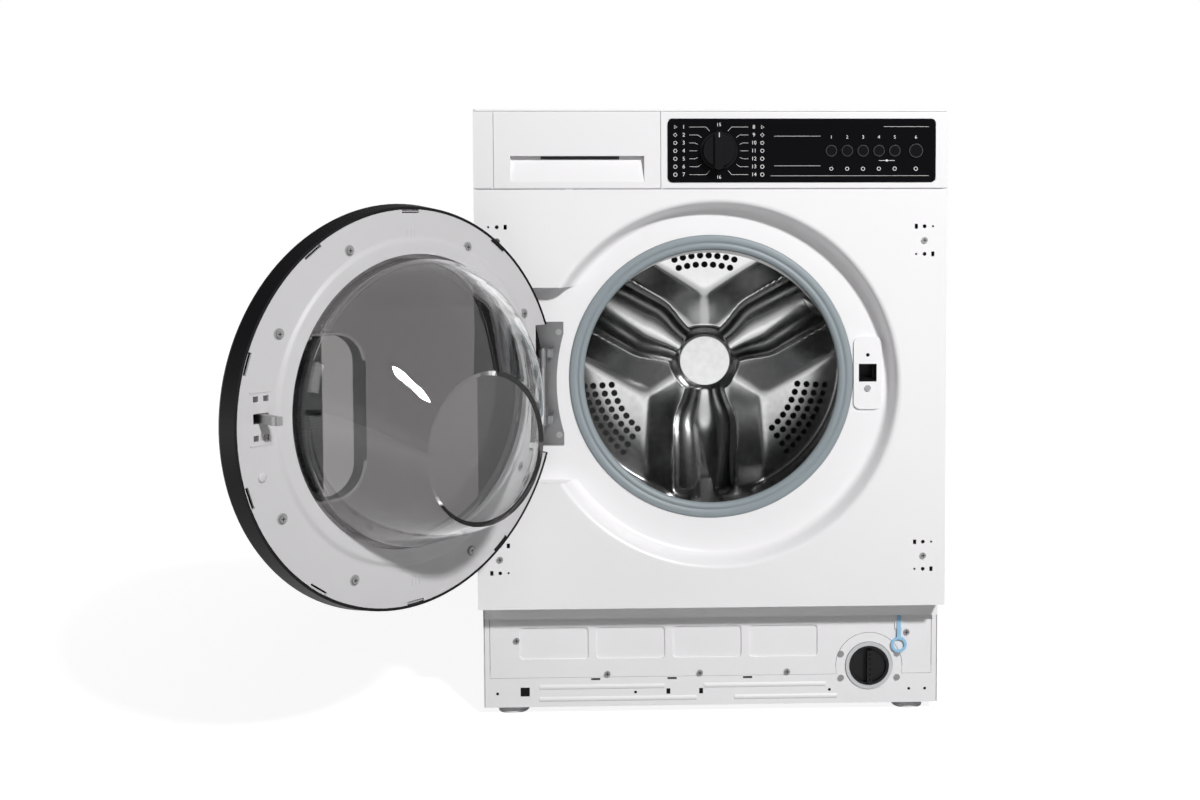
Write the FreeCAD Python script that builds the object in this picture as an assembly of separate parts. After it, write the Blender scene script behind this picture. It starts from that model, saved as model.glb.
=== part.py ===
import FreeCAD, Part
import math
import os

# Built-in washer dryer. Millimetres. X to the right, Y to the back, Z up.
# The origin is on the floor under the middle of the cabinet; the front faces -Y.

# Cabinet
CABINET_WIDTH = 595.0
CABINET_DEPTH = 540.0
BODY_HEIGHT = 775.0
FLOOR_GAP = 12.0
SHEET = 1.0
FASCIA_HEIGHT = 100.0
PLINTH_HEIGHT = 143.0
PLINTH_SETBACK = 47.0
TOP_COVER_SETBACK = 4.0
COVER_MARGIN = 60.0
SEAM = 0.6
FLANGE = 16.0
BASE_WALL = 1.5
BASE_HEIGHT = 46.0
BASE_FLOOR_LIFT = 8.0

# Dished front panel
RECESS_X = 6.0
RECESS_Z = 440.0
RECESS_RADIUS = 236.0
RECESS_FLOOR_RADIUS = 216.0
RECESS_DEPTH = 28.0
POCKET_LEFT = -252.0
POCKET_RIGHT = -150.0
POCKET_HALF_HEIGHT = 124.0
POCKET_CORNER = 18.0
LOCK_PAD_HEIGHT = 3.0
LOCK_PAD_WIDTH = 36.0
LOCK_PAD_TALL = 94.0
THROAT_Z = 447.0
THROAT_RADIUS = 180.0
THROAT_LIP = 11.0
GASKET_APERTURE = 163.0
STEP_DEPTH = 36.0
STEP_DROP = 23.0

# Furniture door fixing holes in the four corners
FIXING_X = 269.0
FIXING_UPPER_Z = 622.5
FIXING_LOWER_Z = 219.5
FIXING_SPACING = 35.0
FIXING_HOLE_RADIUS = 2.4
FIXING_PILOT_RADIUS = 1.4
FIXING_PILOT_OFFSET = 10.6
LANCE_WIDTH = 4.0
LANCE_HEIGHT = 6.0

# Control fascia
FASCIA_WALL = 2.5
FASCIA_DEPTH = 24.0
DRAWER_FRONT_LEFT = -272.0
DRAWER_FRONT_RIGHT = -64.0
DRAWER_FRONT_DEPTH = 14.0
WINDOW_LEFT = -55.0
WINDOW_RIGHT = 282.0
WINDOW_MARGIN = 8.1
WINDOW_HEIGHT = 79.1
WINDOW_CORNER = 6.0
WINDOW_PROUD = 0.8
WINDOW_THICKNESS = 3.0
CONTROL_RISE = 47.4
KNOB_X = 9.0
KNOB_RING_RADIUS = 25.0
KNOB_RING_HEIGHT = 3.0
KNOB_CAP_RADIUS = 20.5
KNOB_CAP_HEIGHT = 12.0
KNOB_BAR_WIDTH = 10.7
KNOB_BAR_LENGTH = 48.0
KNOB_BAR_HEIGHT = 5.0
KNOB_SHAFT_RADIUS = 6.0
BUTTON_PITCH_START = 150.4
BUTTON_PITCH = 20.0
BUTTON_COUNT = 5
BUTTON_RADIUS = 7.8
START_BUTTON_X = 257.2
START_BUTTON_RADIUS = 9.4
BUTTON_PROUD = 1.6
BUTTON_LENGTH = 10.0
KEY_CLEARANCE = 0.3

# Detergent drawer
GRIP_LEFT = -254.5
GRIP_RIGHT = -81.4
GRIP_RISE = 8.6
GRIP_HEIGHT = 32.6
GRIP_DEPTH = 10.0
GRIP_SLOT_LEFT = -214.5
GRIP_SLOT_RIGHT = -116.0
GRIP_SLOT_HEIGHT = 5.0
TRAY_INSET = 12.0
TRAY_RISE = 14.0
TRAY_LENGTH = 205.0
TRAY_HEIGHT = 58.0
TRAY_WALL = 2.0
TRAY_BAYS = 3
TRAY_GAP = 3.0
HOUSING_WALL = 2.5
HOUSING_GAP = 1.0

# Door, drawn shut and then swung open about its pin
DOOR_OPEN = 130.0
DOOR_RADIUS = 229.0
DOOR_RIM = 26.0
DOOR_TAPER = 3.0
DOOR_PROUD = 16.0
DOOR_DOME = 5.0
DOOR_WALL = 3.0
DOOR_FIT = 0.3
COVER_RADIUS = 205.0
FRAME_OPENING = 166.0
FRAME_BEAD = 5.0
FRAME_WALL = 2.5
GLASS_Z = 447.0
GLASS_FLANGE_RADIUS = 178.0
GLASS_THICKNESS = 5.0
GLASS_NECK_RADIUS = 161.0
GLASS_NECK_LENGTH = 21.0
GLASS_DEPTH = 118.0
GLASS_END_RADIUS = 84.0
GLASS_END_DROP = 42.0
HANDLE_LEFT = 62.0
HANDLE_RIGHT = 162.0
HANDLE_HALF_HEIGHT = 90.0
HANDLE_DEPTH = 15.0
HANDLE_CORNER = 36.0
DOOR_SCREW_CIRCLE = 197.0
DOOR_SCREW_ANGLES = (29.0, 65.0, 115.0, 151.0)

# Hinge
HINGE_X = -213.0
HINGE_DEPTH = -6.0
HINGE_PIN_RADIUS = 4.0
HINGE_EYE_RADIUS = 6.2
HINGE_EAR_OFFSET = 42.0
HINGE_EAR_HEIGHT = 10.0
HINGE_ARM_HEIGHT = 12.0
HINGE_ARM_LENGTH = 46.0
HINGE_ARM_THICKNESS = 5.0
HINGE_ARM_GAP = 0.7
HINGE_CLEARANCE = 0.4
HINGE_RUN = 0.05
BRACKET_HALF_HEIGHT = 79.0
BRACKET_LEFT = -226.0
BRACKET_RIGHT = -189.0
BRACKET_THICKNESS = 2.0
BRACKET_WAIST = 9.0
NOTCH_X = -186.0
BRACKET_SCREW_X = -195.0
BRACKET_SCREW_INSET = 13.0

# Door lock
LOCK_X = 201.0
LOCK_Z = 451.5
LOCK_WINDOW = 23.0
LOCK_TALL = 86.0
LOCK_LENGTH = 34.0
HOOK_WIDTH = 9.0
HOOK_THICKNESS = 7.0
HOOK_REACH = 32.0
HOOK_PIN_RADIUS = 2.0
HOOK_PIVOT_INSET = 6.0

# Drum and tub
DRUM_Z = 428.0
DRUM_GAP = 14.0
DRUM_SHEET = 1.2
DRUM_FRONT = 106.0
DRUM_BACK_GAP = 42.0
DRUM_MOUTH = 176.0
LIFTER_HEIGHT = 58.0
LIFTER_WIDTH = 62.0
LIFTER_FRONT_GAP = 26.0
LIFTER_BACK_GAP = 6.8
LIFTER_FRONT_SLOPE = 34.0
LIFTER_BACK_SLOPE = 12.0
LIFTER_COUNT = 3
HUB_RADIUS = 34.0
BACK_EMBOSS = 24.0
TUB_RADIUS = 252.0
TUB_WALL = 4.0
TUB_FRONT = 90.0
TUB_SPLIT = 250.0
TUB_BACK_GAP = 84.0
TUB_MOUTH = 186.0
TUB_NECK = 14.0
TUB_HUB_RADIUS = 44.0
TUB_HUB_LENGTH = 34.0
SHAFT_RADIUS = 15.0
SHAFT_OVERHANG = 4.0
BEARING_RADIUS = 31.0
BEARING_WIDTH = 16.0
SPIDER_THICKNESS = 18.0
SPIDER_ARM_WIDTH = 44.0
PULLEY_RADIUS = 140.0
PULLEY_WIDTH = 16.0
PULLEY_GAP = 6.0
PULLEY_SPOKES = 6

# Suspension
TUB_TRAVEL = 8.0
DAMPER_X = 190.0
DAMPER_DEPTH = 300.0
DAMPER_RADIUS = 16.0
DAMPER_HEIGHT = 92.0
DAMPER_PAD = 3.0
DAMPER_FLOOR = 8.0
DAMPER_HEAD_GAP = 60.0
ROD_RADIUS = 9.0
ROD_RUN = 0.05
SPRING_GAP = 1.76
SPRING_DEPTH = 260.0
SPRING_RADIUS = 14.0
SPRING_WIRE = 3.0
SPRING_SEAT = 157.0
SPRING_DROP = 47.0

# Drive, heating and drying
MOTOR_X = -95.0
MOTOR_Z = 112.0
MOTOR_RADIUS = 56.0
MOTOR_FRONT = 330.0
MOTOR_GAP = 14.0
MOTOR_SHAFT_RADIUS = 6.0
MOTOR_PULLEY_RADIUS = 12.0
BELT_THICKNESS = 3.0
HEATER_ROD_RADIUS = 4.0
HEATER_HALF_WIDTH = 26.0
HEATER_LENGTH = 220.0
HEATER_CLEARANCE = 6.8
WEIGHT_LEFT = -60.0
WEIGHT_RIGHT = 150.0
WEIGHT_RISE = 6.0
WEIGHT_FRONT = 110.0
WEIGHT_BACK = 196.0
DUCT_LEFT = 30.0
DUCT_RIGHT = 110.0
DUCT_RISE = 22.0
DUCT_HEIGHT = 36.0
DUCT_WALL = 2.5
DUCT_FRONT = 100.0
FAN_X = 150.0
FAN_DEPTH = 340.0
FAN_HOUSING_RADIUS = 78.0
FAN_RADIUS = 60.0
FAN_BLADES = 18
FAN_HEIGHT = 24.0
FAN_SHAFT_RADIUS = 4.0

# Plinth, drain filter and emergency door release
FILTER_X = 207.0
FILTER_Z = 62.0
FILTER_CAP_RADIUS = 26.0
FILTER_BEZEL_RADIUS = 31.0
FILTER_DISH_RADIUS = 43.5
FILTER_SCREW_X = 37.0
FILTER_SCREW_Z = 16.0
FILTER_CAP_PROUD = 7.0
FILTER_BAR_WIDTH = 6.0
FILTER_BAR_LENGTH = 42.0
FILTER_PITCH_GAP = 0.4
PUMP_LENGTH = 120.0
PUMP_RADIUS = 35.0
PUMP_MOTOR_LENGTH = 46.0
SUMP_SPIGOT_RADIUS = 19.0
SUMP_SPIGOT_INSET = 40.0
SUMP_SPIGOT_RISE = 26.0
DRAIN_SPIGOT_RADIUS = 10.0
DRAIN_SPIGOT_INSET = 14.0
DRAIN_SPIGOT_OFFSET = 20.0
SPIGOT_WALL = 2.5
PUMP_FOOT_WIDTH = 48.0
PUMP_FOOT_INSET = 30.0
RAIL_SLOTS = (-152.0, -52.0, 47.0)
RAIL_NOTCHES = (-57.0, -14.0)
RAIL_HOLES = (-280.0, -100.0, 155.0, 260.0, 281.0)
RAIL_RIBS = ((-225.0, -62.0, 38.0), (-225.0, -20.0, 22.0), (-10.0, 150.0, 38.0), (30.0, 165.0, 22.0))
RAIL_WINDOW = 12.0
RAIL_WINDOW_X = -244.0
RAIL_WINDOW_Z = 32.0
SERVICE_BOTTOM = 51.0
SERVICE_TOP = 150.0
SERVICE_HALF_WIDTH = 289.0
EMBOSS = 3.0
FIELD_COUNT = 4
FIELD_LEFT = -252.0
FIELD_PITCH = 100.0
FIELD_WIDTH = 92.0
FIELD_BOTTOM = 74.0
FIELD_TOP = 118.0
RIB_RADIUS = 4.5
RIB_PROUD = 1.4
PULL_X = 246.0
PULL_RING_Z = 90.0
PULL_RING_RADIUS = 10.4
PULL_RING_HOLE = 7.0
PULL_STRAP_WIDTH = 5.0
PULL_THICKNESS = 1.4
PULL_TOP = 147.0
PULL_STANDOFF = 2.4

# Feet and rear connections
FOOT_X = 262.0
FOOT_FRONT = 78.0
FOOT_REAR_INSET = 30.0
FOOT_RADIUS = 20.0
FOOT_PAD = 11.0
FOOT_STEM_RADIUS = 4.0
FOOT_STEM = 34.0
VALVE_X = 226.0
VALVE_DROP = 65.0
VALVE_THREAD_RADIUS = 13.2
VALVE_THREAD = 16.0
SPOUT_X = -218.0
SPOUT_DROP = 97.0
SPOUT_RADIUS = 10.5
SPOUT_LENGTH = 18.0
GLAND_X = -240.0
GLAND_DROP = 45.0
GLAND_RADIUS = 11.0

# Fasteners
SCREW_RADIUS = 3.9
SCREW_HEAD = 2.0
SCREW_SHANK = 1.9

# Places worked out from the sizes above
HALF_WIDTH = CABINET_WIDTH / 2
TOP = FLOOR_GAP + BODY_HEIGHT
PANEL_TOP = TOP - FASCIA_HEIGHT
PANEL_BOTTOM = FLOOR_GAP + PLINTH_HEIGHT
COVER_BOTTOM = TOP - 2 * SHEET
FASCIA_BOTTOM = PANEL_TOP + SEAM
FASCIA_TOP = COVER_BOTTOM - SEAM
WINDOW_BOTTOM = FASCIA_BOTTOM + WINDOW_MARGIN
WINDOW_TOP = WINDOW_BOTTOM + WINDOW_HEIGHT
CONTROL_Z = FASCIA_BOTTOM + CONTROL_RISE
GRIP_BOTTOM = FASCIA_BOTTOM + GRIP_RISE
GRIP_TOP = GRIP_BOTTOM + GRIP_HEIGHT
DRUM_RADIUS = TUB_RADIUS - DRUM_GAP
TUB_BACK = CABINET_DEPTH - TUB_BACK_GAP
DRUM_BACK = TUB_BACK - DRUM_BACK_GAP
TUB_HUB_BACK = TUB_BACK + TUB_HUB_LENGTH
PULLEY_PLACE = TUB_HUB_BACK + PULLEY_GAP
SHAFT_END = PULLEY_PLACE + PULLEY_WIDTH + SHAFT_OVERHANG
MOTOR_BACK = PULLEY_PLACE - MOTOR_GAP
HEATER_DROP = TUB_RADIUS - HEATER_CLEARANCE
TUB_SEAM_RADIUS = TUB_RADIUS + 3 * TUB_WALL
SPRING_X = math.sqrt(TUB_SEAM_RADIUS ** 2 - SPRING_SEAT ** 2) + SPRING_RADIUS + SPRING_GAP
SPRING_BOTTOM = DRUM_Z + SPRING_SEAT
SPRING_TOP = TOP - SPRING_DROP
DUCT_BOTTOM = DRUM_Z + TUB_RADIUS + TUB_WALL + DUCT_RISE
DUCT_TOP = DUCT_BOTTOM + DUCT_HEIGHT
FOOT_BACK = CABINET_DEPTH - FOOT_REAR_INSET
VALVE_Z = TOP - VALVE_DROP
SPOUT_Z = TOP - SPOUT_DROP
GLAND_Z = TOP - GLAND_DROP
TRAY_LEFT = DRAWER_FRONT_LEFT + TRAY_INSET
TRAY_RIGHT = DRAWER_FRONT_RIGHT - TRAY_INSET
TRAY_BOTTOM = FASCIA_BOTTOM + TRAY_RISE
DOOR_FRONT = -DOOR_PROUD
DOOR_FACE = DOOR_RIM - DOOR_PROUD
ARM_BACK = DOOR_FRONT + 2 * DOOR_WALL + HINGE_ARM_GAP + HINGE_ARM_THICKNESS
FRAME_RADIUS = DOOR_RADIUS - DOOR_TAPER - DOOR_WALL - DOOR_FIT
GLASS_BACK = DOOR_FACE - FRAME_WALL - DOOR_FIT
HOOK_PIVOT = DOOR_FACE - FRAME_WALL - HOOK_PIVOT_INSET
DAMPER_FOOT = FLOOR_GAP + BASE_FLOOR_LIFT + BASE_WALL + DAMPER_PAD
V = FreeCAD.Vector
UP = V(0, 0, 1)
REARWARD = V(0, 1, 0)


def y_at(depth):
    return depth - CABINET_DEPTH / 2


def block(x0, x1, d0, d1, z0, z1):
    return Part.makeBox(x1 - x0, d1 - d0, z1 - z0, V(x0, y_at(d0), z0))


def rod(x, z, radius, d0, d1):
    return Part.makeCylinder(radius, d1 - d0, V(x, y_at(d0), z), REARWARD)


def tube(x, z, outer, inner, d0, d1):
    return rod(x, z, outer, d0, d1).cut(rod(x, z, inner, d0 - 1, d1 + 1))


def post(x, depth, radius, z0, z1):
    return Part.makeCylinder(radius, z1 - z0, V(x, y_at(depth), z0), UP)


def spin(profile, x, z):
    # Turns a closed outline of (radius, depth) points about a line along Y
    points = [V(x + r, y_at(d), z) for r, d in profile]
    face = Part.Face(Part.makePolygon(points + points[:1]))
    return face.revolve(V(x, 0, z), REARWARD, 360)


def circle(x, z, radius, depth):
    return Part.Wire(Part.makeCircle(radius, V(x, y_at(depth), z), REARWARD))


def plate(outline, d0, d1):
    # A flat plate from an outline of (x, z) points, standing across the depth
    points = [V(x, y_at(d0), z) for x, z in outline]
    face = Part.Face(Part.makePolygon(points + points[:1]))
    return face.extrude(V(0, d1 - d0, 0))


def joined(shapes):
    return shapes[0].fuse(shapes[1:]).removeSplitter()


def rounded_along(shape, radius, axis):
    edges = []
    for edge in shape.Edges:
        if edge.Curve.TypeId != "Part::GeomLine":
            continue
        if abs(edge.Curve.Direction.dot(axis)) > 0.999:
            edges.append(edge)
    return shape.makeFillet(radius, edges)


def screw_head(x, z, depth, length):
    # A pan-head screw whose head stands in front of the given depth
    head = rod(x, z, SCREW_RADIUS, depth - SCREW_HEAD, depth)
    return head.fuse(rod(x, z, SCREW_SHANK, depth, depth + length))


def swung_open(shape):
    turned = shape.copy()
    turned.rotate(V(HINGE_X, y_at(HINGE_DEPTH), 0), UP, -DOOR_OPEN)
    return turned


def fixing_groups():
    return [(sx * FIXING_X, z) for sx in (-1, 1) for z in (FIXING_LOWER_Z, FIXING_UPPER_Z)]


def dish(grow):
    # The smooth S-shaped wall of the door recess, turned about the recess axis
    start = -5.0 if grow == 0 else 0.0
    rim = RECESS_RADIUS + grow
    floor = RECESS_FLOOR_RADIUS + grow
    end = RECESS_DEPTH + grow
    ease = (RECESS_RADIUS - RECESS_FLOOR_RADIUS) * 0.7
    poles = [(rim, 0.0), (rim - ease, 0.0), (floor + ease, end), (floor, end)]
    curve = Part.BezierCurve()
    curve.setPoles([V(RECESS_X + r, y_at(d), RECESS_Z) for r, d in poles])
    corners = [(floor, end), (0.0, end), (0.0, start), (rim, start), (rim, 0.0)]
    if start == 0.0:
        corners = [(floor, end), (0.0, end), (0.0, start), (rim, start)]
    points = [V(RECESS_X + r, y_at(d), RECESS_Z) for r, d in corners]
    outline = Part.Wire([curve.toShape()] + Part.makePolygon(points).Edges)
    return Part.Face(outline).revolve(V(RECESS_X, 0, RECESS_Z), REARWARD, 360)


def hinge_pocket(grow):
    start = -5.0 if grow == 0 else 0.0
    low = RECESS_Z - POCKET_HALF_HEIGHT - grow
    high = RECESS_Z + POCKET_HALF_HEIGHT + grow
    pocket = block(POCKET_LEFT - grow, POCKET_RIGHT, start, RECESS_DEPTH + grow, low, high)
    return rounded_along(pocket, POCKET_CORNER + grow, REARWARD)


def lock_pad(shrink):
    half_w = LOCK_PAD_WIDTH / 2 - shrink
    half_h = LOCK_PAD_TALL / 2 - shrink
    front = RECESS_DEPTH - LOCK_PAD_HEIGHT + shrink
    pad = block(LOCK_X - half_w, LOCK_X + half_w, front, RECESS_DEPTH + 9, LOCK_Z - half_h, LOCK_Z + half_h)
    return rounded_along(pad, POCKET_CORNER / 2 - shrink, REARWARD)


def front_panel():
    sheet = block(-HALF_WIDTH, HALF_WIDTH, 0, SHEET, PANEL_BOTTOM, PANEL_TOP)
    left = block(-HALF_WIDTH, -HALF_WIDTH + SHEET, 0, FLANGE, PANEL_BOTTOM, PANEL_TOP)
    right = block(HALF_WIDTH - SHEET, HALF_WIDTH, 0, FLANGE, PANEL_BOTTOM, PANEL_TOP)
    upper = block(-HALF_WIDTH, HALF_WIDTH, 0, FLANGE, PANEL_TOP - SHEET, PANEL_TOP)
    inset = HALF_WIDTH - 3 * SHEET
    sill = block(-inset, inset, 0, STEP_DEPTH, PANEL_BOTTOM, PANEL_BOTTOM + SHEET)
    step_low = PANEL_BOTTOM - STEP_DROP
    step = block(-inset, inset, STEP_DEPTH - SHEET, STEP_DEPTH, step_low, PANEL_BOTTOM + SHEET)
    hollow = dish(0).fuse(hinge_pocket(0)).cut(lock_pad(0))
    backing = dish(SHEET).fuse(hinge_pocket(SHEET)).cut(lock_pad(SHEET))
    lip_back = RECESS_DEPTH + THROAT_LIP
    lip = rod(0, THROAT_Z, THROAT_RADIUS + SHEET, RECESS_DEPTH, lip_back)
    panel = joined([sheet, left, right, upper, sill, step, backing, lip])
    cuts = [hollow, rod(0, THROAT_Z, THROAT_RADIUS, -5, lip_back + 5)]
    half = LOCK_WINDOW / 2
    cuts.append(block(LOCK_X - half, LOCK_X + half, 0, RECESS_DEPTH + 9, LOCK_Z - half, LOCK_Z + half))
    for dz in (-LOCK_WINDOW * 0.85, LOCK_WINDOW):
        cuts.append(rod(LOCK_X, LOCK_Z + dz, FIXING_HOLE_RADIUS, 0, RECESS_DEPTH + 9))
    for z in bracket_screws():
        cuts.append(rod(BRACKET_SCREW_X, z, SCREW_SHANK, 0, RECESS_DEPTH + 9))
    half_gap = FIXING_SPACING / 2
    for x, z in fixing_groups():
        side = math.copysign(1, x)
        cuts.append(rod(x, z, SCREW_SHANK, -1, 3))
        for dz in (-half_gap, half_gap):
            pilot = x + side * math.copysign(FIXING_PILOT_OFFSET, dz)
            lance = x - side * math.copysign(FIXING_PILOT_OFFSET, dz)
            cuts.append(rod(x, z + dz, FIXING_HOLE_RADIUS, -1, 3))
            cuts.append(rod(pilot, z + dz, FIXING_PILOT_RADIUS, -1, 3))
            w = LANCE_WIDTH / 2
            h = LANCE_HEIGHT / 2
            cuts.append(block(lance - w, lance + w, -1, 3, z + dz - h, z + dz + h))
    return panel.cut(cuts)


def side_panel(side):
    inner = HALF_WIDTH - SHEET
    low = FLOOR_GAP
    high = COVER_BOTTOM - SEAM
    front = FLANGE + SEAM
    rear = CABINET_DEPTH - SHEET - SEAM
    wall = block(inner, HALF_WIDTH, front, rear, low, high)
    toe = block(inner - 1, HALF_WIDTH + 1, 0, PLINTH_SETBACK - SHEET, 0, PANEL_BOTTOM - SEAM)
    brow = block(inner - 1, HALF_WIDTH + 1, 0, FASCIA_DEPTH + SEAM, PANEL_TOP, TOP)
    wall = wall.cut([toe, brow])
    top_fold = block(inner - FLANGE, HALF_WIDTH, FASCIA_DEPTH + SEAM, rear, high - SHEET, high)
    back_fold = block(inner - FLANGE, HALF_WIDTH, rear - SHEET, rear, low + BASE_HEIGHT + SEAM, high)
    ear_low = SPRING_TOP + SEAM
    ear_front = SPRING_DEPTH - SPRING_RADIUS
    ear_back = SPRING_DEPTH + SPRING_RADIUS
    ear = block(SPRING_X - SPRING_RADIUS, HALF_WIDTH, ear_front, ear_back, ear_low, ear_low + 3 * SHEET)
    panel = joined([wall, top_fold, back_fold, ear])
    if side < 0:
        panel = panel.mirror(V(0, 0, 0), V(1, 0, 0))
    return panel


def top_cover():
    deck = block(-HALF_WIDTH, HALF_WIDTH, TOP_COVER_SETBACK, CABINET_DEPTH, COVER_BOTTOM, TOP)
    deck = rounded_along(deck, 3 * SHEET, UP)
    stiffener = block(-HALF_WIDTH / 2, HALF_WIDTH / 2, COVER_MARGIN, CABINET_DEPTH - COVER_MARGIN,
                      COVER_BOTTOM - 1, TOP - SHEET)
    return deck.cut(stiffener)


def back_panel():
    inner = HALF_WIDTH - SHEET - SEAM
    low = FLOOR_GAP + BASE_HEIGHT + SEAM
    high = COVER_BOTTOM - SEAM
    sheet = block(-inner, inner, CABINET_DEPTH - SHEET, CABINET_DEPTH, low, high)
    # A shallow round pressing behind the belt pulley stiffens the sheet
    bulge = rod(0, DRUM_Z, PULLEY_RADIUS + 30, CABINET_DEPTH - 4 * SHEET, CABINET_DEPTH)
    hollow = rod(0, DRUM_Z, PULLEY_RADIUS + 30 - SHEET, CABINET_DEPTH - 3 * SHEET, CABINET_DEPTH + 1)
    panel = sheet.fuse(bulge).cut(hollow)
    cuts = [
        rod(VALVE_X, VALVE_Z, VALVE_THREAD_RADIUS + 2, CABINET_DEPTH - 5, CABINET_DEPTH + 5),
        rod(SPOUT_X, SPOUT_Z, SPOUT_RADIUS + 2, CABINET_DEPTH - 5, CABINET_DEPTH + 5),
        rod(GLAND_X, GLAND_Z, GLAND_RADIUS + SEAM, CABINET_DEPTH - 5, CABINET_DEPTH + 5),
    ]
    # Four transit bolt holes round the tub
    for x in (-PULLEY_RADIUS - 60, PULLEY_RADIUS + 60):
        for z in (DRUM_Z - PULLEY_RADIUS, DRUM_Z + PULLEY_RADIUS):
            cuts.append(rod(x, z, 11, CABINET_DEPTH - 5, CABINET_DEPTH + 5))
    # Vent louvres near the top
    for row in range(5):
        z = high - 40 - 12 * row
        cuts.append(block(-60, 60, CABINET_DEPTH - 5, CABINET_DEPTH + 5, z, z + 4))
    return panel.cut(cuts)


def base_tray():
    inner = HALF_WIDTH - SHEET - SEAM
    front = PLINTH_SETBACK + EMBOSS + SHEET + SEAM
    rear = CABINET_DEPTH
    floor = FLOOR_GAP + BASE_FLOOR_LIFT
    tray = block(-inner, inner, front, rear, FLOOR_GAP, FLOOR_GAP + BASE_HEIGHT)
    upper = block(-inner + BASE_WALL, inner - BASE_WALL, front + BASE_WALL, rear - BASE_WALL,
                  floor + BASE_WALL, TOP)
    under = block(-inner + BASE_WALL, inner - BASE_WALL, front + BASE_WALL, rear - BASE_WALL,
                  0, floor)
    tray = tray.cut([upper, under])
    # Raised pads carry the dampers and the drain pump
    for x in (-DAMPER_X, DAMPER_X):
        tray = tray.fuse(post(x, DAMPER_DEPTH, DAMPER_RADIUS + 6, floor, floor + BASE_WALL + DAMPER_PAD))
    holes = [post(x, d, FOOT_STEM_RADIUS, 0, floor + 50) for x, d in foot_places()]
    bosses = [post(x, d, FOOT_STEM_RADIUS + 5, FLOOR_GAP, floor + BASE_WALL + 6) for x, d in foot_places()]
    pump_bay = rod(FILTER_X, FILTER_Z, PUMP_RADIUS + 3, front - 1, front + BASE_WALL + 1)
    eye_x = FILTER_SCREW_X + PUMP_RADIUS / 4
    eye_low = FILTER_Z - FILTER_SCREW_Z - PUMP_RADIUS / 4
    eye_bay = block(FILTER_X - eye_x, FILTER_X + eye_x, front - 1, front + BASE_WALL + 1, eye_low, TOP)
    return joined([tray] + bosses).cut(holes + [pump_bay, eye_bay])


def foot_places():
    return [(-FOOT_X, FOOT_FRONT), (FOOT_X, FOOT_FRONT), (-FOOT_X, FOOT_BACK), (FOOT_X, FOOT_BACK)]


def foot(x, depth):
    pad = Part.makeCone(FOOT_RADIUS, FOOT_RADIUS - 3, FOOT_PAD, V(x, y_at(depth), 0), UP)
    stem = post(x, depth, FOOT_STEM_RADIUS - HINGE_RUN, FOOT_PAD, FOOT_PAD + FOOT_STEM)
    return pad.fuse(stem)


def filter_screws():
    return [(FILTER_X + sx * FILTER_SCREW_X, FILTER_Z + sz * FILTER_SCREW_Z)
            for sx in (-1, 1) for sz in (-1, 1)]


def plinth_panel():
    # Removable service sheet with four pressed fields, cut round the drain dish
    face = PLINTH_SETBACK
    sheet = block(-SERVICE_HALF_WIDTH, SERVICE_HALF_WIDTH, face, face + SHEET, SERVICE_BOTTOM, SERVICE_TOP)
    panel = sheet
    hollows = []
    for i in range(FIELD_COUNT):
        left = FIELD_LEFT + i * FIELD_PITCH
        outer = block(left, left + FIELD_WIDTH, face, face + EMBOSS, FIELD_BOTTOM, FIELD_TOP)
        inner = block(left + SHEET, left + FIELD_WIDTH - SHEET, face - 1, face + EMBOSS - SHEET,
                      FIELD_BOTTOM + SHEET, FIELD_TOP - SHEET)
        panel = panel.fuse(rounded_along(outer, 6, REARWARD))
        hollows.append(rounded_along(inner, 5, REARWARD))
    hollows.append(rod(FILTER_X, FILTER_Z, FILTER_DISH_RADIUS + SEAM, face - 1, face + 10))
    hollows.append(block(FILTER_X - FILTER_DISH_RADIUS, FILTER_X + FILTER_DISH_RADIUS, face - 1, face + 10,
                         0, FILTER_Z))
    for x, z in service_screws():
        hollows.append(rod(x, z, SCREW_SHANK, face - 1, face + 10))
    # A low pad the release strap runs on
    pad = block(PULL_X - PULL_STRAP_WIDTH, PULL_X + PULL_STRAP_WIDTH, face - PULL_STANDOFF + KEY_CLEARANCE, face,
                PULL_RING_Z + 2 * PULL_RING_RADIUS, PULL_TOP - PULL_RING_RADIUS)
    return panel.fuse(pad).cut(hollows)


def service_screws():
    low = SERVICE_BOTTOM + 4
    return [(-254.5, 100.5), (256.5, 106.0), (-136.5, low), (-15.5, low), (99.0, low)]


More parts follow.
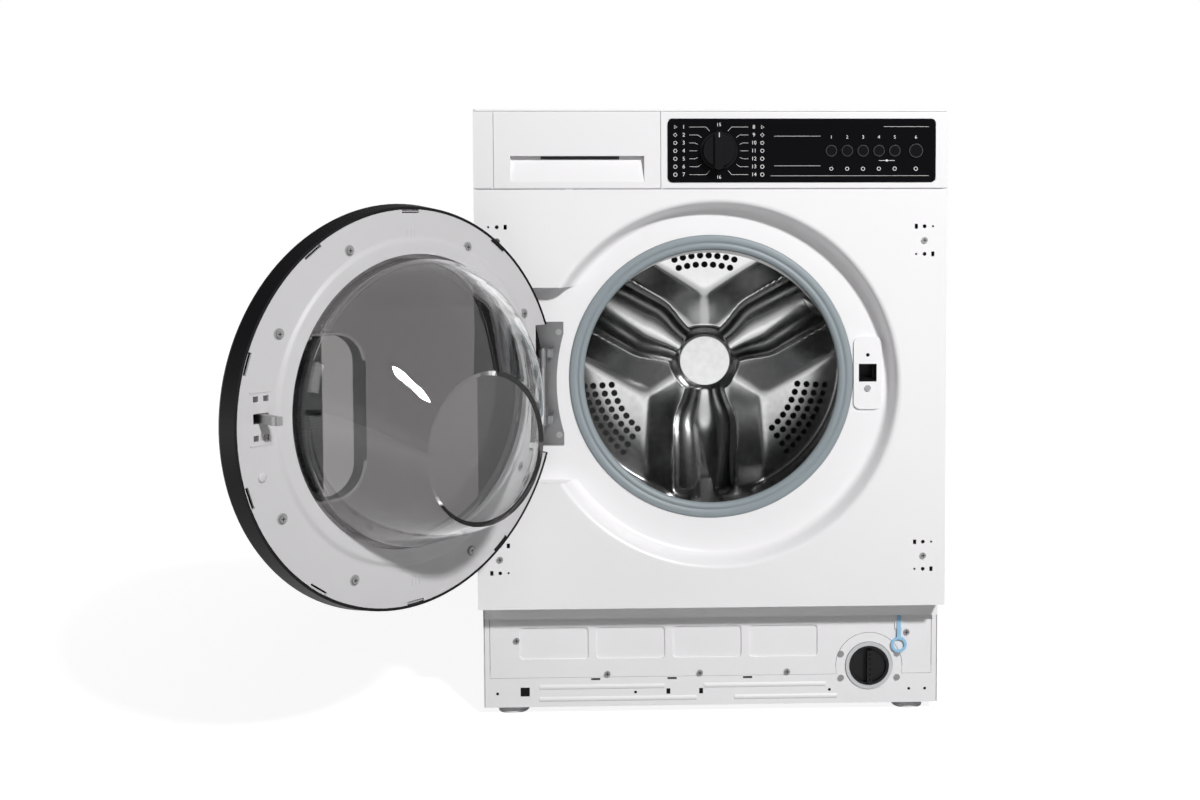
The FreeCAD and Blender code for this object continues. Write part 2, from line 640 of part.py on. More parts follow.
def plinth_crossmember():
    # Bottom rail with a round dish for the drain filter, swaged ribs and pierced slots
    face = PLINTH_SETBACK
    back = face + EMBOSS + SHEET
    top = SERVICE_BOTTOM - SEAM
    inner = HALF_WIDTH - SHEET - SEAM
    rail = block(-inner, inner, face, face + SHEET, FLOOR_GAP, top)
    foot_fold = block(-inner, inner, face, back, FLOOR_GAP, FLOOR_GAP + SHEET)
    posts = [block(-inner, -SERVICE_HALF_WIDTH - SEAM, face, face + SHEET, FLOOR_GAP, SERVICE_TOP),
             block(SERVICE_HALF_WIDTH + SEAM, inner, face, face + SHEET, FLOOR_GAP, SERVICE_TOP)]
    backing = block(-inner, inner, face + SHEET, face + 2 * SHEET, top - 12, top + 10)
    dish_low = max(FILTER_Z - FILTER_DISH_RADIUS, FLOOR_GAP)
    round_dish = rod(FILTER_X, FILTER_Z, FILTER_DISH_RADIUS, face, face + SHEET)
    round_dish = round_dish.common(block(-inner, inner, face, back, dish_low, TOP))
    rail = joined([rail, foot_fold, round_dish, backing] + posts)
    ribs = []
    rib_place = y_at(face + RIB_RADIUS - RIB_PROUD)
    for left, right, z in RAIL_RIBS:
        bar = Part.makeCylinder(RIB_RADIUS, right - left, V(left, rib_place, z), V(1, 0, 0))
        ribs.append(bar.common(block(left, right, face - RIB_RADIUS, face + SHEET / 2, FLOOR_GAP, top)))
    rail = joined([rail] + ribs)
    cuts = [rod(FILTER_X, FILTER_Z, FILTER_BEZEL_RADIUS + SEAM, face - 2, back + 2)]
    half = RAIL_WINDOW / 2
    cuts.append(block(RAIL_WINDOW_X - half, RAIL_WINDOW_X + half, face - 2, back + 2,
                      RAIL_WINDOW_Z - half, RAIL_WINDOW_Z + half))
    for x in RAIL_SLOTS:
        cuts.append(block(x - 6, x + 6, face - 2, back + 2, top - 4, top - 1))
    for x in RAIL_NOTCHES:
        cuts.append(block(x - 2.5, x + 2.5, face - 2, back + 2, 27, 34.5))
    for x in RAIL_HOLES:
        cuts.append(rod(x, FLOOR_GAP + 18, 2, face - 2, back + 2))
    for x, z in filter_screws():
        cuts.append(rod(x, z, SCREW_SHANK, face - 2, back + 2))
    for x, z in service_screws():
        cuts.append(rod(x, z, SCREW_SHANK, face - 2, back + 10))
    return rail.cut(cuts)


def filter_housing():
    # Drain pump with its filter barrel behind the dish
    face = PLINTH_SETBACK
    start = face + 2 * SHEET + SEAM / 2
    barrel = rod(FILTER_X, FILTER_Z, PUMP_RADIUS, start, face + PUMP_LENGTH)
    bezel = rod(FILTER_X, FILTER_Z, FILTER_BEZEL_RADIUS, face - 2, start + 1)
    motor = rod(FILTER_X, FILTER_Z, PUMP_RADIUS * 0.8, face + PUMP_LENGTH - 1,
                face + PUMP_LENGTH + PUMP_MOTOR_LENGTH)
    spigot_top = FILTER_Z + PUMP_RADIUS + SUMP_SPIGOT_RISE
    sump_place = face + PUMP_LENGTH - SUMP_SPIGOT_INSET
    drain_place = face + PUMP_LENGTH - DRAIN_SPIGOT_INSET
    drain_x = FILTER_X - DRAIN_SPIGOT_OFFSET
    spigot = post(FILTER_X, sump_place, SUMP_SPIGOT_RADIUS, FILTER_Z, spigot_top)
    outlet = post(drain_x, drain_place, DRAIN_SPIGOT_RADIUS, FILTER_Z, spigot_top)
    half_foot = PUMP_FOOT_WIDTH / 2
    foot_block = block(FILTER_X - half_foot, FILTER_X + half_foot, face + PUMP_FOOT_INSET,
                       face + PUMP_LENGTH + PUMP_FOOT_INSET, FLOOR_GAP + BASE_FLOOR_LIFT + BASE_WALL, FILTER_Z)
    body = joined([barrel, bezel, motor, spigot, outlet, foot_block])
    bore = rod(FILTER_X, FILTER_Z, FILTER_CAP_RADIUS + FILTER_PITCH_GAP, face - 5, face + 30)
    chamber = rod(FILTER_X, FILTER_Z, FILTER_CAP_RADIUS - 4, face, face + PUMP_LENGTH - 30)
    drop = post(FILTER_X, sump_place, SUMP_SPIGOT_RADIUS - SPIGOT_WALL, FILTER_Z, TOP)
    drain = post(drain_x, drain_place, DRAIN_SPIGOT_RADIUS - SPIGOT_WALL, FILTER_Z, TOP)
    eyes = [rod(x, z, 6, start, face + 14) for x, z in filter_screws()]
    pilots = [rod(x, z, SCREW_SHANK, face, face + 20) for x, z in filter_screws()]
    return joined([body] + eyes).cut([bore, chamber, drop, drain] + pilots)


def filter_cap():
    face = PLINTH_SETBACK
    front = face - FILTER_CAP_PROUD
    disc = rod(FILTER_X, FILTER_Z, FILTER_CAP_RADIUS, face - 1, face + 24)
    dip = rod(FILTER_X, FILTER_Z, FILTER_CAP_RADIUS - 3, face - 2, face + 4)
    half_w = FILTER_BAR_WIDTH / 2
    half_l = FILTER_BAR_LENGTH / 2
    bar = block(FILTER_X - half_w, FILTER_X + half_w, front, face + 5, FILTER_Z - half_l, FILTER_Z + half_l)
    windows = []
    for i in range(6):
        z = FILTER_Z - half_l + 4 + i * (FILTER_BAR_LENGTH - 8) / 5.0
        windows.append(block(FILTER_X - 1.5, FILTER_X + 1.5, front - 1, front + 2, z - 1.8, z + 1.8))
    return disc.cut(dip).fuse(bar).cut(windows)


def release_pull():
    back = PLINTH_SETBACK - PULL_STANDOFF
    front = back - PULL_THICKNESS
    ring = tube(PULL_X, PULL_RING_Z, PULL_RING_RADIUS, PULL_RING_HOLE, front, back)
    half = PULL_STRAP_WIDTH / 2
    strap = block(PULL_X - half, PULL_X + half, front, back, PULL_RING_Z + PULL_RING_HOLE + 1, PULL_TOP)
    return ring.fuse(strap)


def control_fascia():
    outer = block(-HALF_WIDTH, HALF_WIDTH, 0, FASCIA_DEPTH, FASCIA_BOTTOM, FASCIA_TOP)
    outer = rounded_along(outer, 2, V(1, 0, 0))
    w = FASCIA_WALL
    hollow = block(-HALF_WIDTH + w, HALF_WIDTH - w, w, FASCIA_DEPTH + 1, FASCIA_BOTTOM + w, FASCIA_TOP - w)
    shell = outer.cut(hollow)
    web_front = DRAWER_FRONT_DEPTH + SEAM
    web = block(DRAWER_FRONT_LEFT - SEAM - w, DRAWER_FRONT_RIGHT + SEAM + w, web_front, web_front + w,
                FASCIA_BOTTOM + w, FASCIA_TOP - w)
    cheeks = [block(DRAWER_FRONT_LEFT - SEAM - w, DRAWER_FRONT_LEFT - SEAM, 0, FASCIA_DEPTH,
                    FASCIA_BOTTOM, FASCIA_TOP),
              block(DRAWER_FRONT_RIGHT + SEAM, DRAWER_FRONT_RIGHT + SEAM + w, 0, FASCIA_DEPTH,
                    FASCIA_BOTTOM, FASCIA_TOP)]
    shell = joined([shell, web] + cheeks)
    bay = block(DRAWER_FRONT_LEFT - SEAM, DRAWER_FRONT_RIGHT + SEAM, -1, web_front, FASCIA_BOTTOM - 1, TOP)
    gap = TRAY_GAP - HOUSING_GAP
    mouth = block(TRAY_LEFT - gap, TRAY_RIGHT + gap, 0, FASCIA_DEPTH + 1, TRAY_BOTTOM - gap,
                  TRAY_BOTTOM + TRAY_HEIGHT + gap)
    bed = rounded_along(block(WINDOW_LEFT - SEAM, WINDOW_RIGHT + SEAM, -1, w + 1, WINDOW_BOTTOM - SEAM,
                              WINDOW_TOP + SEAM), WINDOW_CORNER, REARWARD)
    ledge = block(WINDOW_LEFT - 6, WINDOW_RIGHT + 6, WINDOW_THICKNESS - WINDOW_PROUD, WINDOW_THICKNESS + 2,
                  FASCIA_BOTTOM + w, FASCIA_TOP - w)
    holes = [rod(x, CONTROL_Z, r + 1, -2, 20) for x, r in control_holes()]
    return shell.cut([bay, mouth, bed]).fuse(ledge).cut(holes)


def button_places():
    places = [(BUTTON_PITCH_START + i * BUTTON_PITCH, BUTTON_RADIUS) for i in range(BUTTON_COUNT)]
    return places + [(START_BUTTON_X, START_BUTTON_RADIUS)]


def control_holes():
    return [(KNOB_X, KNOB_SHAFT_RADIUS)] + button_places()


def control_window():
    body = block(WINDOW_LEFT, WINDOW_RIGHT, -WINDOW_PROUD, WINDOW_THICKNESS - WINDOW_PROUD,
                 WINDOW_BOTTOM, WINDOW_TOP)
    body = rounded_along(body, WINDOW_CORNER, REARWARD)
    return body.cut([rod(x, CONTROL_Z, r + KEY_CLEARANCE, -5, 10) for x, r in control_holes()])


def program_knob():
    face = -WINDOW_PROUD - KEY_CLEARANCE
    ring_front = face - KNOB_RING_HEIGHT
    cap_front = ring_front - KNOB_CAP_HEIGHT
    ring = Part.makeCone(KNOB_RING_RADIUS - 1.5, KNOB_RING_RADIUS, KNOB_RING_HEIGHT,
                         V(KNOB_X, y_at(ring_front), CONTROL_Z), REARWARD)
    cap = Part.makeCone(KNOB_CAP_RADIUS - 1, KNOB_CAP_RADIUS, KNOB_CAP_HEIGHT,
                        V(KNOB_X, y_at(cap_front), CONTROL_Z), REARWARD)
    half_w = KNOB_BAR_WIDTH / 2
    half_l = KNOB_BAR_LENGTH / 2
    bar_front = cap_front - KNOB_BAR_HEIGHT
    bar = block(KNOB_X - half_w, KNOB_X + half_w, bar_front, face, CONTROL_Z - half_l, CONTROL_Z + half_l)
    bar = rounded_along(bar, half_w - 0.5, REARWARD)
    pointer = block(KNOB_X - 0.7, KNOB_X + 0.7, bar_front - 1, bar_front + 0.6,
                    CONTROL_Z + half_l - 12, CONTROL_Z + half_l - 2)
    shaft = rod(KNOB_X, CONTROL_Z, KNOB_SHAFT_RADIUS, face, FASCIA_WALL + 12)
    return joined([ring, cap, bar, shaft]).cut(pointer)


def button(x, radius):
    front = -WINDOW_PROUD - BUTTON_PROUD
    cap = rod(x, CONTROL_Z, radius, front, front + BUTTON_LENGTH)
    rim = [e for e in cap.Edges if abs(e.BoundBox.YMin - y_at(front)) < 0.01 and e.Closed]
    return cap.makeFillet(BUTTON_PROUD / 2, rim[:1])


def drawer_front():
    left = DRAWER_FRONT_LEFT
    right = DRAWER_FRONT_RIGHT
    front = block(left, right, 0, DRAWER_FRONT_DEPTH, FASCIA_BOTTOM, FASCIA_TOP)
    front = rounded_along(front, 2, V(1, 0, 0))
    # The finger scoop runs from flush at its lower edge to full depth under the upper lip
    lean = 3.0
    section = [V(GRIP_LEFT + lean, y_at(-1), GRIP_TOP), V(GRIP_LEFT + lean, y_at(GRIP_DEPTH), GRIP_TOP),
               V(GRIP_LEFT + lean, y_at(0), GRIP_BOTTOM), V(GRIP_LEFT + lean, y_at(-1), GRIP_BOTTOM)]
    width = GRIP_RIGHT - GRIP_LEFT - 2 * lean
    scoop = Part.Face(Part.makePolygon(section + section[:1])).extrude(V(width, 0, 0))
    slot = block(GRIP_SLOT_LEFT, GRIP_SLOT_RIGHT, GRIP_DEPTH * 0.55, DRAWER_FRONT_DEPTH - 2, GRIP_TOP - 1,
                 GRIP_TOP + GRIP_SLOT_HEIGHT)
    return front.cut([scoop, slot])


def drawer_tray():
    start = DRAWER_FRONT_DEPTH
    top = TRAY_BOTTOM + TRAY_HEIGHT
    w = TRAY_WALL
    tray = block(TRAY_LEFT, TRAY_RIGHT, start, start + TRAY_LENGTH, TRAY_BOTTOM, top)
    bay = (TRAY_RIGHT - TRAY_LEFT - (TRAY_BAYS + 1) * w) / TRAY_BAYS
    pockets = []
    for i in range(TRAY_BAYS):
        x = TRAY_LEFT + w + i * (bay + w)
        pocket = block(x, x + bay, start + w, start + TRAY_LENGTH - w, TRAY_BOTTOM + w, top + 5)
        pockets.append(rounded_along(pocket, 8, UP))
    return tray.cut(pockets)


def drawer_housing():
    g = TRAY_GAP
    w = HOUSING_WALL
    start = FASCIA_DEPTH + SEAM
    end = DRAWER_FRONT_DEPTH + TRAY_LENGTH + 12
    top = FASCIA_TOP - FASCIA_WALL - SEAM
    outer = block(TRAY_LEFT - g - w, TRAY_RIGHT + g + w, start, end, TRAY_BOTTOM - HOUSING_GAP - w, top)
    inner = block(TRAY_LEFT - g, TRAY_RIGHT + g, start - 1, end - w, TRAY_BOTTOM - HOUSING_GAP, top - w)
    shell = outer.cut(inner)
    # Two runners under the tray, the fill chamber's inlet and the outlet neck to the tub
    runners = [block(x - 3, x + 3, start, end - w, TRAY_BOTTOM - HOUSING_GAP - 0.5, TRAY_BOTTOM - DOOR_FIT)
               for x in (TRAY_LEFT + 12, TRAY_RIGHT - 12)]
    neck = post(TRAY_RIGHT - 30, end - 40, 14, TRAY_BOTTOM - 24, TRAY_BOTTOM - HOUSING_GAP)
    bore = post(TRAY_RIGHT - 30, end - 40, 11, TRAY_BOTTOM - 40, TRAY_BOTTOM)
    hangers = [block(x - 8, x + 8, end - 20, end - 4, top - 1, COVER_BOTTOM - SEAM)
               for x in (TRAY_LEFT + 20, TRAY_RIGHT - 20)]
    return joined([shell, neck] + runners + hangers).cut(bore)


def bracket_screws():
    reach = BRACKET_HALF_HEIGHT - BRACKET_SCREW_INSET
    return [RECESS_Z - reach, RECESS_Z + reach]


def ear_centres():
    return [RECESS_Z - HINGE_EAR_OFFSET, RECESS_Z + HINGE_EAR_OFFSET]


def arm_centres():
    step = (HINGE_EAR_HEIGHT + HINGE_ARM_HEIGHT) / 2 + HINGE_CLEARANCE
    return [RECESS_Z - HINGE_EAR_OFFSET + step, RECESS_Z + HINGE_EAR_OFFSET - step]


def hinge_bracket():
    # Steel plate screwed to the recess floor, waisted on the drum side, with two ears for the pin
    back = RECESS_DEPTH
    front = back - BRACKET_THICKNESS
    low = RECESS_Z - BRACKET_HALF_HEIGHT
    high = RECESS_Z + BRACKET_HALF_HEIGHT
    base = block(BRACKET_LEFT, BRACKET_RIGHT, front, back, low, high)
    chord = high - low - 30
    waist_radius = (chord * chord / 4 + BRACKET_WAIST * BRACKET_WAIST) / (2 * BRACKET_WAIST)
    bite = rod(BRACKET_RIGHT - BRACKET_WAIST + waist_radius, RECESS_Z, waist_radius, front - 1, back + 1)
    ears = []
    half = HINGE_EAR_HEIGHT / 2
    for z in ear_centres():
        eye = post(HINGE_X, HINGE_DEPTH, HINGE_EYE_RADIUS, z - half, z + half)
        arm = block(HINGE_X, HINGE_X + 2 * HINGE_EYE_RADIUS, HINGE_DEPTH, back, z - half, z + half)
        ears.append(eye.fuse(arm))
    bores = [post(HINGE_X, HINGE_DEPTH, HINGE_PIN_RADIUS, low, high)]
    bores += [rod(BRACKET_SCREW_X, z, SCREW_SHANK, front - 1, back + 1) for z in bracket_screws()]
    return joined([base.cut(bite)] + ears).cut(bores)


def hinge_pin():
    reach = HINGE_EAR_OFFSET + HINGE_EAR_HEIGHT / 2 + 1.5
    return post(HINGE_X, HINGE_DEPTH, HINGE_PIN_RADIUS, RECESS_Z - reach, RECESS_Z + reach)


def hinge_arms():
    # Two steel arms that turn on the pin and reach into the door
    arms = []
    half = HINGE_ARM_HEIGHT / 2
    front = ARM_BACK - HINGE_ARM_THICKNESS
    for z in arm_centres():
        eye = post(HINGE_X, HINGE_DEPTH, HINGE_EYE_RADIUS, z - half, z + half)
        bar = block(HINGE_X, HINGE_X + HINGE_ARM_LENGTH, front, ARM_BACK, z - half, z + half)
        arms.append(eye.fuse(bar))
    tie = block(NOTCH_X + 4, HINGE_X + HINGE_ARM_LENGTH, front, ARM_BACK, arm_centres()[0], arm_centres()[1])
    bore = post(HINGE_X, HINGE_DEPTH, HINGE_PIN_RADIUS + HINGE_RUN, 0, TOP)
    return swung_open(joined(arms + [tie]).cut(bore))


def hinge_notch(front):
    reach = BRACKET_HALF_HEIGHT + 1
    return block(-CABINET_WIDTH, NOTCH_X, front, DOOR_FACE + 20, RECESS_Z - reach, RECESS_Z + reach)


def door_outer_ring():
    r = DOOR_RADIUS
    seat = COVER_RADIUS + DOOR_FIT
    ledge = DOOR_FRONT + DOOR_WALL + DOOR_FIT
    inside = DOOR_FRONT + 2 * DOOR_WALL
    section = [(seat, DOOR_FRONT), (r - 4, DOOR_FRONT), (r - 1, DOOR_FRONT + 1.5), (r, DOOR_FRONT + 4.5),
               (r - DOOR_TAPER, DOOR_FACE), (r - DOOR_TAPER - DOOR_WALL, DOOR_FACE), (r - DOOR_WALL - 1, inside),
               (COVER_RADIUS - 5, inside), (COVER_RADIUS - 5, ledge), (seat, ledge)]
    ring = spin(section, RECESS_X, RECESS_Z)
    return swung_open(ring.cut(hinge_notch(HINGE_DEPTH - HINGE_EYE_RADIUS - 1)))


def handle_pocket(grow, front, back):
    pocket = block(HANDLE_LEFT - grow, HANDLE_RIGHT + grow, front, back,
                   RECESS_Z - HANDLE_HALF_HEIGHT - grow, RECESS_Z + HANDLE_HALF_HEIGHT + grow)
    return rounded_along(pocket, HANDLE_CORNER + grow, REARWARD)


def door_outer_cover():
    # Smoked disc with a shallow crown and a finger recess pressed into it
    crown = DOOR_FRONT - DOOR_DOME
    rise = DOOR_DOME * 0.75
    outer = Part.Arc(V(RECESS_X, y_at(crown), RECESS_Z),
                     V(RECESS_X + COVER_RADIUS / 2, y_at(crown + DOOR_DOME - rise), RECESS_Z),
                     V(RECESS_X + COVER_RADIUS, y_at(DOOR_FRONT), RECESS_Z))
    inner = Part.Arc(V(RECESS_X, y_at(crown + DOOR_WALL), RECESS_Z),
                     V(RECESS_X + COVER_RADIUS / 2, y_at(crown + DOOR_WALL + DOOR_DOME - rise), RECESS_Z),
                     V(RECESS_X + COVER_RADIUS, y_at(DOOR_FRONT + DOOR_WALL), RECESS_Z))
    edge = Part.makeLine(V(RECESS_X + COVER_RADIUS, y_at(DOOR_FRONT), RECESS_Z),
                         V(RECESS_X + COVER_RADIUS, y_at(DOOR_FRONT + DOOR_WALL), RECESS_Z))
    axis = Part.makeLine(V(RECESS_X, y_at(crown), RECESS_Z), V(RECESS_X, y_at(crown + DOOR_WALL), RECESS_Z))
    face = Part.Face(Part.Wire([outer.toShape(), edge, inner.toShape(), axis]))
    cover = face.revolve(V(RECESS_X, 0, RECESS_Z), REARWARD, 360)
    floor = DOOR_FRONT + HANDLE_DEPTH
    tub = handle_pocket(0, DOOR_FRONT - DOOR_DOME / 4, floor)
    hollow = handle_pocket(-DOOR_WALL, DOOR_FRONT - 2 * DOOR_DOME, floor - DOOR_WALL)
    return swung_open(cover.fuse(tub).removeSplitter().cut(hollow))


def door_screws_at():
    places = []
    for angle in DOOR_SCREW_ANGLES:
        turn = math.radians(angle)
        x = RECESS_X + DOOR_SCREW_CIRCLE * math.cos(turn)
        rise = DOOR_SCREW_CIRCLE * math.sin(turn)
        places += [(x, RECESS_Z - rise), (x, RECESS_Z + rise)]
    return places


def door_inner_frame():
    back = DOOR_FACE
    inside = back - FRAME_WALL
    seat = DOOR_FRONT + 2 * DOOR_WALL + DOOR_FIT
    disc = rod(RECESS_X, RECESS_Z, FRAME_RADIUS, inside, back)
    skirt = tube(RECESS_X, RECESS_Z, FRAME_RADIUS, FRAME_RADIUS - FRAME_WALL, seat, back)
    bead = rod(0, GLASS_Z, FRAME_OPENING + FRAME_BEAD, inside, back + FRAME_WALL)
    holder = tube(0, GLASS_Z, GLASS_FLANGE_RADIUS + DOOR_FIT + FRAME_WALL, GLASS_FLANGE_RADIUS + DOOR_FIT,
                  GLASS_BACK - GLASS_THICKNESS - 1, inside)
    bosses = [rod(x, z, SCREW_RADIUS + 0.8, seat, back) for x, z in door_screws_at()]
    cheeks = []
    for dz in (-HOOK_WIDTH - 0.5, HOOK_WIDTH + 0.5):
        z = LOCK_Z + dz
        cheeks.append(block(LOCK_X - 6, LOCK_X + 6, HOOK_PIVOT - 5, inside, z - 3, z + 3))
    frame = joined([disc, skirt, bead, holder] + bosses + cheeks)
    frame = frame.cut(hinge_notch(DOOR_FRONT))
    wall_reach = BRACKET_HALF_HEIGHT + 1
    wall = block(NOTCH_X, NOTCH_X + FRAME_WALL, seat, back, RECESS_Z - wall_reach, RECESS_Z + wall_reach)
    pads = [block(NOTCH_X, NOTCH_X + 8, ARM_BACK, inside, z - HINGE_ARM_HEIGHT / 2, z + HINGE_ARM_HEIGHT / 2)
            for z in arm_centres()]
    frame = joined([frame, wall] + pads)
    cuts = [rod(0, GLASS_Z, FRAME_OPENING, DOOR_FRONT, back + 9)]
    for z in arm_centres():
        half = HINGE_ARM_HEIGHT / 2 + DOOR_FIT
        cuts.append(block(NOTCH_X - 5, NOTCH_X + FRAME_WALL + 0.01, seat - 1, ARM_BACK, z - half, z + half))
    cuts += [rod(x, z, SCREW_SHANK, seat - 1, back + 1) for x, z in door_screws_at()]
    slot_h = HOOK_WIDTH / 2 + 0.7
    cuts.append(block(LOCK_X - 9, LOCK_X + 9, inside - 1, back + 1, LOCK_Z - slot_h, LOCK_Z + slot_h))
    cuts.append(post(LOCK_X, HOOK_PIVOT, HOOK_PIN_RADIUS + HINGE_RUN, LOCK_Z - 20, LOCK_Z + 20))
    # Four square moulding windows round the hook
    for sx in (-1, 1):
        for sz in (-1, 1):
            x = LOCK_X + 6 * sx
            z = LOCK_Z + 20 * sz
            cuts.append(block(x - 3, x + 3, inside - 1, back + 1, z - 3, z + 3))
    # Clip windows round the edge
    for i in range(10):
        turn = math.radians(18 + 36 * i)
        if i == 4:
            continue
        clip = block(FRAME_RADIUS - 4, FRAME_RADIUS + 1, inside - 1, back + 1, -12, 12)
        clip.rotate(V(0, 0, 0), REARWARD, -math.degrees(turn))
        clip.translate(V(RECESS_X, 0, RECESS_Z))
        cuts.append(clip)
    return swung_open(frame.cut(cuts))


def glass_section(inset, z_shift):
    start = GLASS_BACK + GLASS_NECK_LENGTH
    end = GLASS_BACK + GLASS_DEPTH
    length = end - start
    rows = [(0.0, 1.0, 0.0), (0.26, 0.86, 0.06), (0.68, 0.42, 0.55), (1.0, 0.0, 1.0)]
    wires = []
    for along, share, drop in rows:
        radius = GLASS_END_RADIUS + (GLASS_NECK_RADIUS - GLASS_END_RADIUS) * share
        wires.append(circle(0, GLASS_Z - GLASS_END_DROP * drop, radius - inset, start + length * along - z_shift))
    bowl = Part.makeLoft(wires, True, False)
    neck = rod(0, GLASS_Z, GLASS_NECK_RADIUS - inset, GLASS_BACK - 1 - z_shift, start - z_shift)
    return bowl.fuse(neck)


def door_glass():
    # Pressed bowl: round flange, sloping top and a deep flat lens below the middle
    flange = rod(0, GLASS_Z, GLASS_FLANGE_RADIUS, GLASS_BACK - GLASS_THICKNESS, GLASS_BACK)
    bowl = glass_section(0, 0)
    hollow = glass_section(GLASS_THICKNESS, GLASS_THICKNESS)
    mouth = rod(0, GLASS_Z, GLASS_NECK_RADIUS - GLASS_THICKNESS, DOOR_FRONT, GLASS_BACK - GLASS_THICKNESS + 1)
    return swung_open(joined([flange, bowl]).cut([hollow, mouth]))


def door_screws():
    screws = []
    for x, z in door_screws_at():
        head = rod(x, z, SCREW_RADIUS, DOOR_FACE, DOOR_FACE + SCREW_HEAD)
        screws.append(head.fuse(rod(x, z, SCREW_SHANK, DOOR_FACE - 12, DOOR_FACE)))
    return swung_open(Part.makeCompound(screws))


def door_hook():
    half_t = HOOK_THICKNESS / 2
    half_w = HOOK_WIDTH / 2
    tip = DOOR_FACE + HOOK_REACH
    stem = block(LOCK_X - half_t, LOCK_X + half_t, HOOK_PIVOT - 4, tip, LOCK_Z - half_w, LOCK_Z + half_w)
    nose = [V(LOCK_X, y_at(tip), LOCK_Z - half_w), V(LOCK_X + half_t + 2.5, y_at(tip - 5), LOCK_Z - half_w),
            V(LOCK_X + half_t + 2.5, y_at(tip - 8), LOCK_Z - half_w), V(LOCK_X, y_at(tip - 8), LOCK_Z - half_w)]
    barb = Part.Face(Part.makePolygon(nose + nose[:1])).extrude(V(0, 0, HOOK_WIDTH))
    pin = post(LOCK_X, HOOK_PIVOT, HOOK_PIN_RADIUS, LOCK_Z - 12, LOCK_Z + 12)
    return swung_open(joined([stem, barb, pin]))


def door_lock():
    # Lock case behind the panel with a funnel for the hook
    front = RECESS_DEPTH - LOCK_PAD_HEIGHT + SHEET + DOOR_FIT
    back = front + LOCK_LENGTH
    half_w = LOCK_PAD_WIDTH / 2 - SHEET - 0.5
    half_h = LOCK_TALL / 2
    case = block(LOCK_X - half_w, LOCK_X + half_w, front, back, LOCK_Z - half_h, LOCK_Z + half_h)
    case = rounded_along(case, POCKET_CORNER / 2, REARWARD)
    mouth = LOCK_WINDOW / 2 - 0.5
    throat = mouth - 2
    near = Part.makePolygon([V(LOCK_X + sx * mouth, y_at(front - 0.1), LOCK_Z + sz * mouth)
                             for sx, sz in ((-1, -1), (1, -1), (1, 1), (-1, 1), (-1, -1))])
    far = Part.makePolygon([V(LOCK_X + sx * throat, y_at(front + 8), LOCK_Z + sz * throat)
                            for sx, sz in ((-1, -1), (1, -1), (1, 1), (-1, 1), (-1, -1))])
    funnel = Part.makeLoft([near, far], True, True)
    well = block(LOCK_X - mouth, LOCK_X + mouth, front + 8, back - 3, LOCK_Z - throat, LOCK_Z + throat)
    strike = post(LOCK_X + mouth - 2, front + 12, 1.5, LOCK_Z - throat - 1, LOCK_Z + throat + 1)
    pilots = [rod(LOCK_X, LOCK_Z + dz, SCREW_SHANK, front - 1, front + 14)
              for dz in (-LOCK_WINDOW * 0.85, LOCK_WINDOW)]
    return case.cut([funnel, well] + pilots).fuse(strike)


def door_gasket():
    # Rubber bellows: a rolled front edge over the panel's throat, a lip for the glass, a skirt to the tub
    floor = RECESS_DEPTH
    lip_out = THROAT_RADIUS - 0.4
    roll = THROAT_RADIUS + 2.5
    lip = GASKET_APERTURE
    front = [(lip, floor + 2.5), (lip + 3, floor - 1), (lip + 7, floor - 2.6), (THROAT_RADIUS - 2, floor - 2.8),
             (roll - 1, floor - 2), (roll, floor - 0.4), (lip_out, floor - 0.4), (lip_out, floor + 14),
             (lip_out - 6, floor + 14), (lip_out - 7, floor + 10), (lip + 2, floor + 5)]
    edge = spin(front, 0, THROAT_Z)
    neck = TUB_MOUTH + TUB_WALL + 0.4
    start = floor + 14
    end = TUB_FRONT - TUB_NECK
    bend = end - TUB_NECK
    bend_z = THROAT_Z + (DRUM_Z - THROAT_Z) * 0.4
    outer = Part.makeLoft([circle(0, THROAT_Z, lip_out, start), circle(0, bend_z, lip_out + 3, bend),
                           circle(0, DRUM_Z, neck + 5, end)], True, True)
    inner = Part.makeLoft([circle(0, THROAT_Z, lip_out - 6, start), circle(0, bend_z, lip_out - 3, bend),
                           circle(0, DRUM_Z, neck, end)], True, True)
    cuff = tube(0, DRUM_Z, neck + 5, neck, end, TUB_FRONT - 1)
    return joined([edge, outer.cut(inner), cuff])


def tub_front():
    inner = TUB_RADIUS
    outer = TUB_RADIUS + TUB_WALL
    wall_back = TUB_FRONT + TUB_WALL
    mouth = TUB_MOUTH
    section = [(mouth, TUB_FRONT - TUB_NECK), (mouth + TUB_WALL, TUB_FRONT - TUB_NECK),
               (mouth + TUB_WALL, TUB_FRONT), (outer, TUB_FRONT), (outer, TUB_SPLIT - 2 * TUB_WALL),
               (outer + 2 * TUB_WALL, TUB_SPLIT - 2 * TUB_WALL), (outer + 2 * TUB_WALL, TUB_SPLIT),
               (inner, TUB_SPLIT), (inner, wall_back), (mouth, wall_back)]
    shell = spin(section, 0, DRUM_Z)
    half = HEATER_HALF_WIDTH + 2 * HEATER_ROD_RADIUS
    rod_z = DRUM_Z - HEATER_DROP
    slot = block(-half, half, TUB_FRONT - 1, wall_back + 1,
                 rod_z - HEATER_ROD_RADIUS - 1, rod_z + HEATER_ROD_RADIUS + 1)
    return shell.cut(slot)


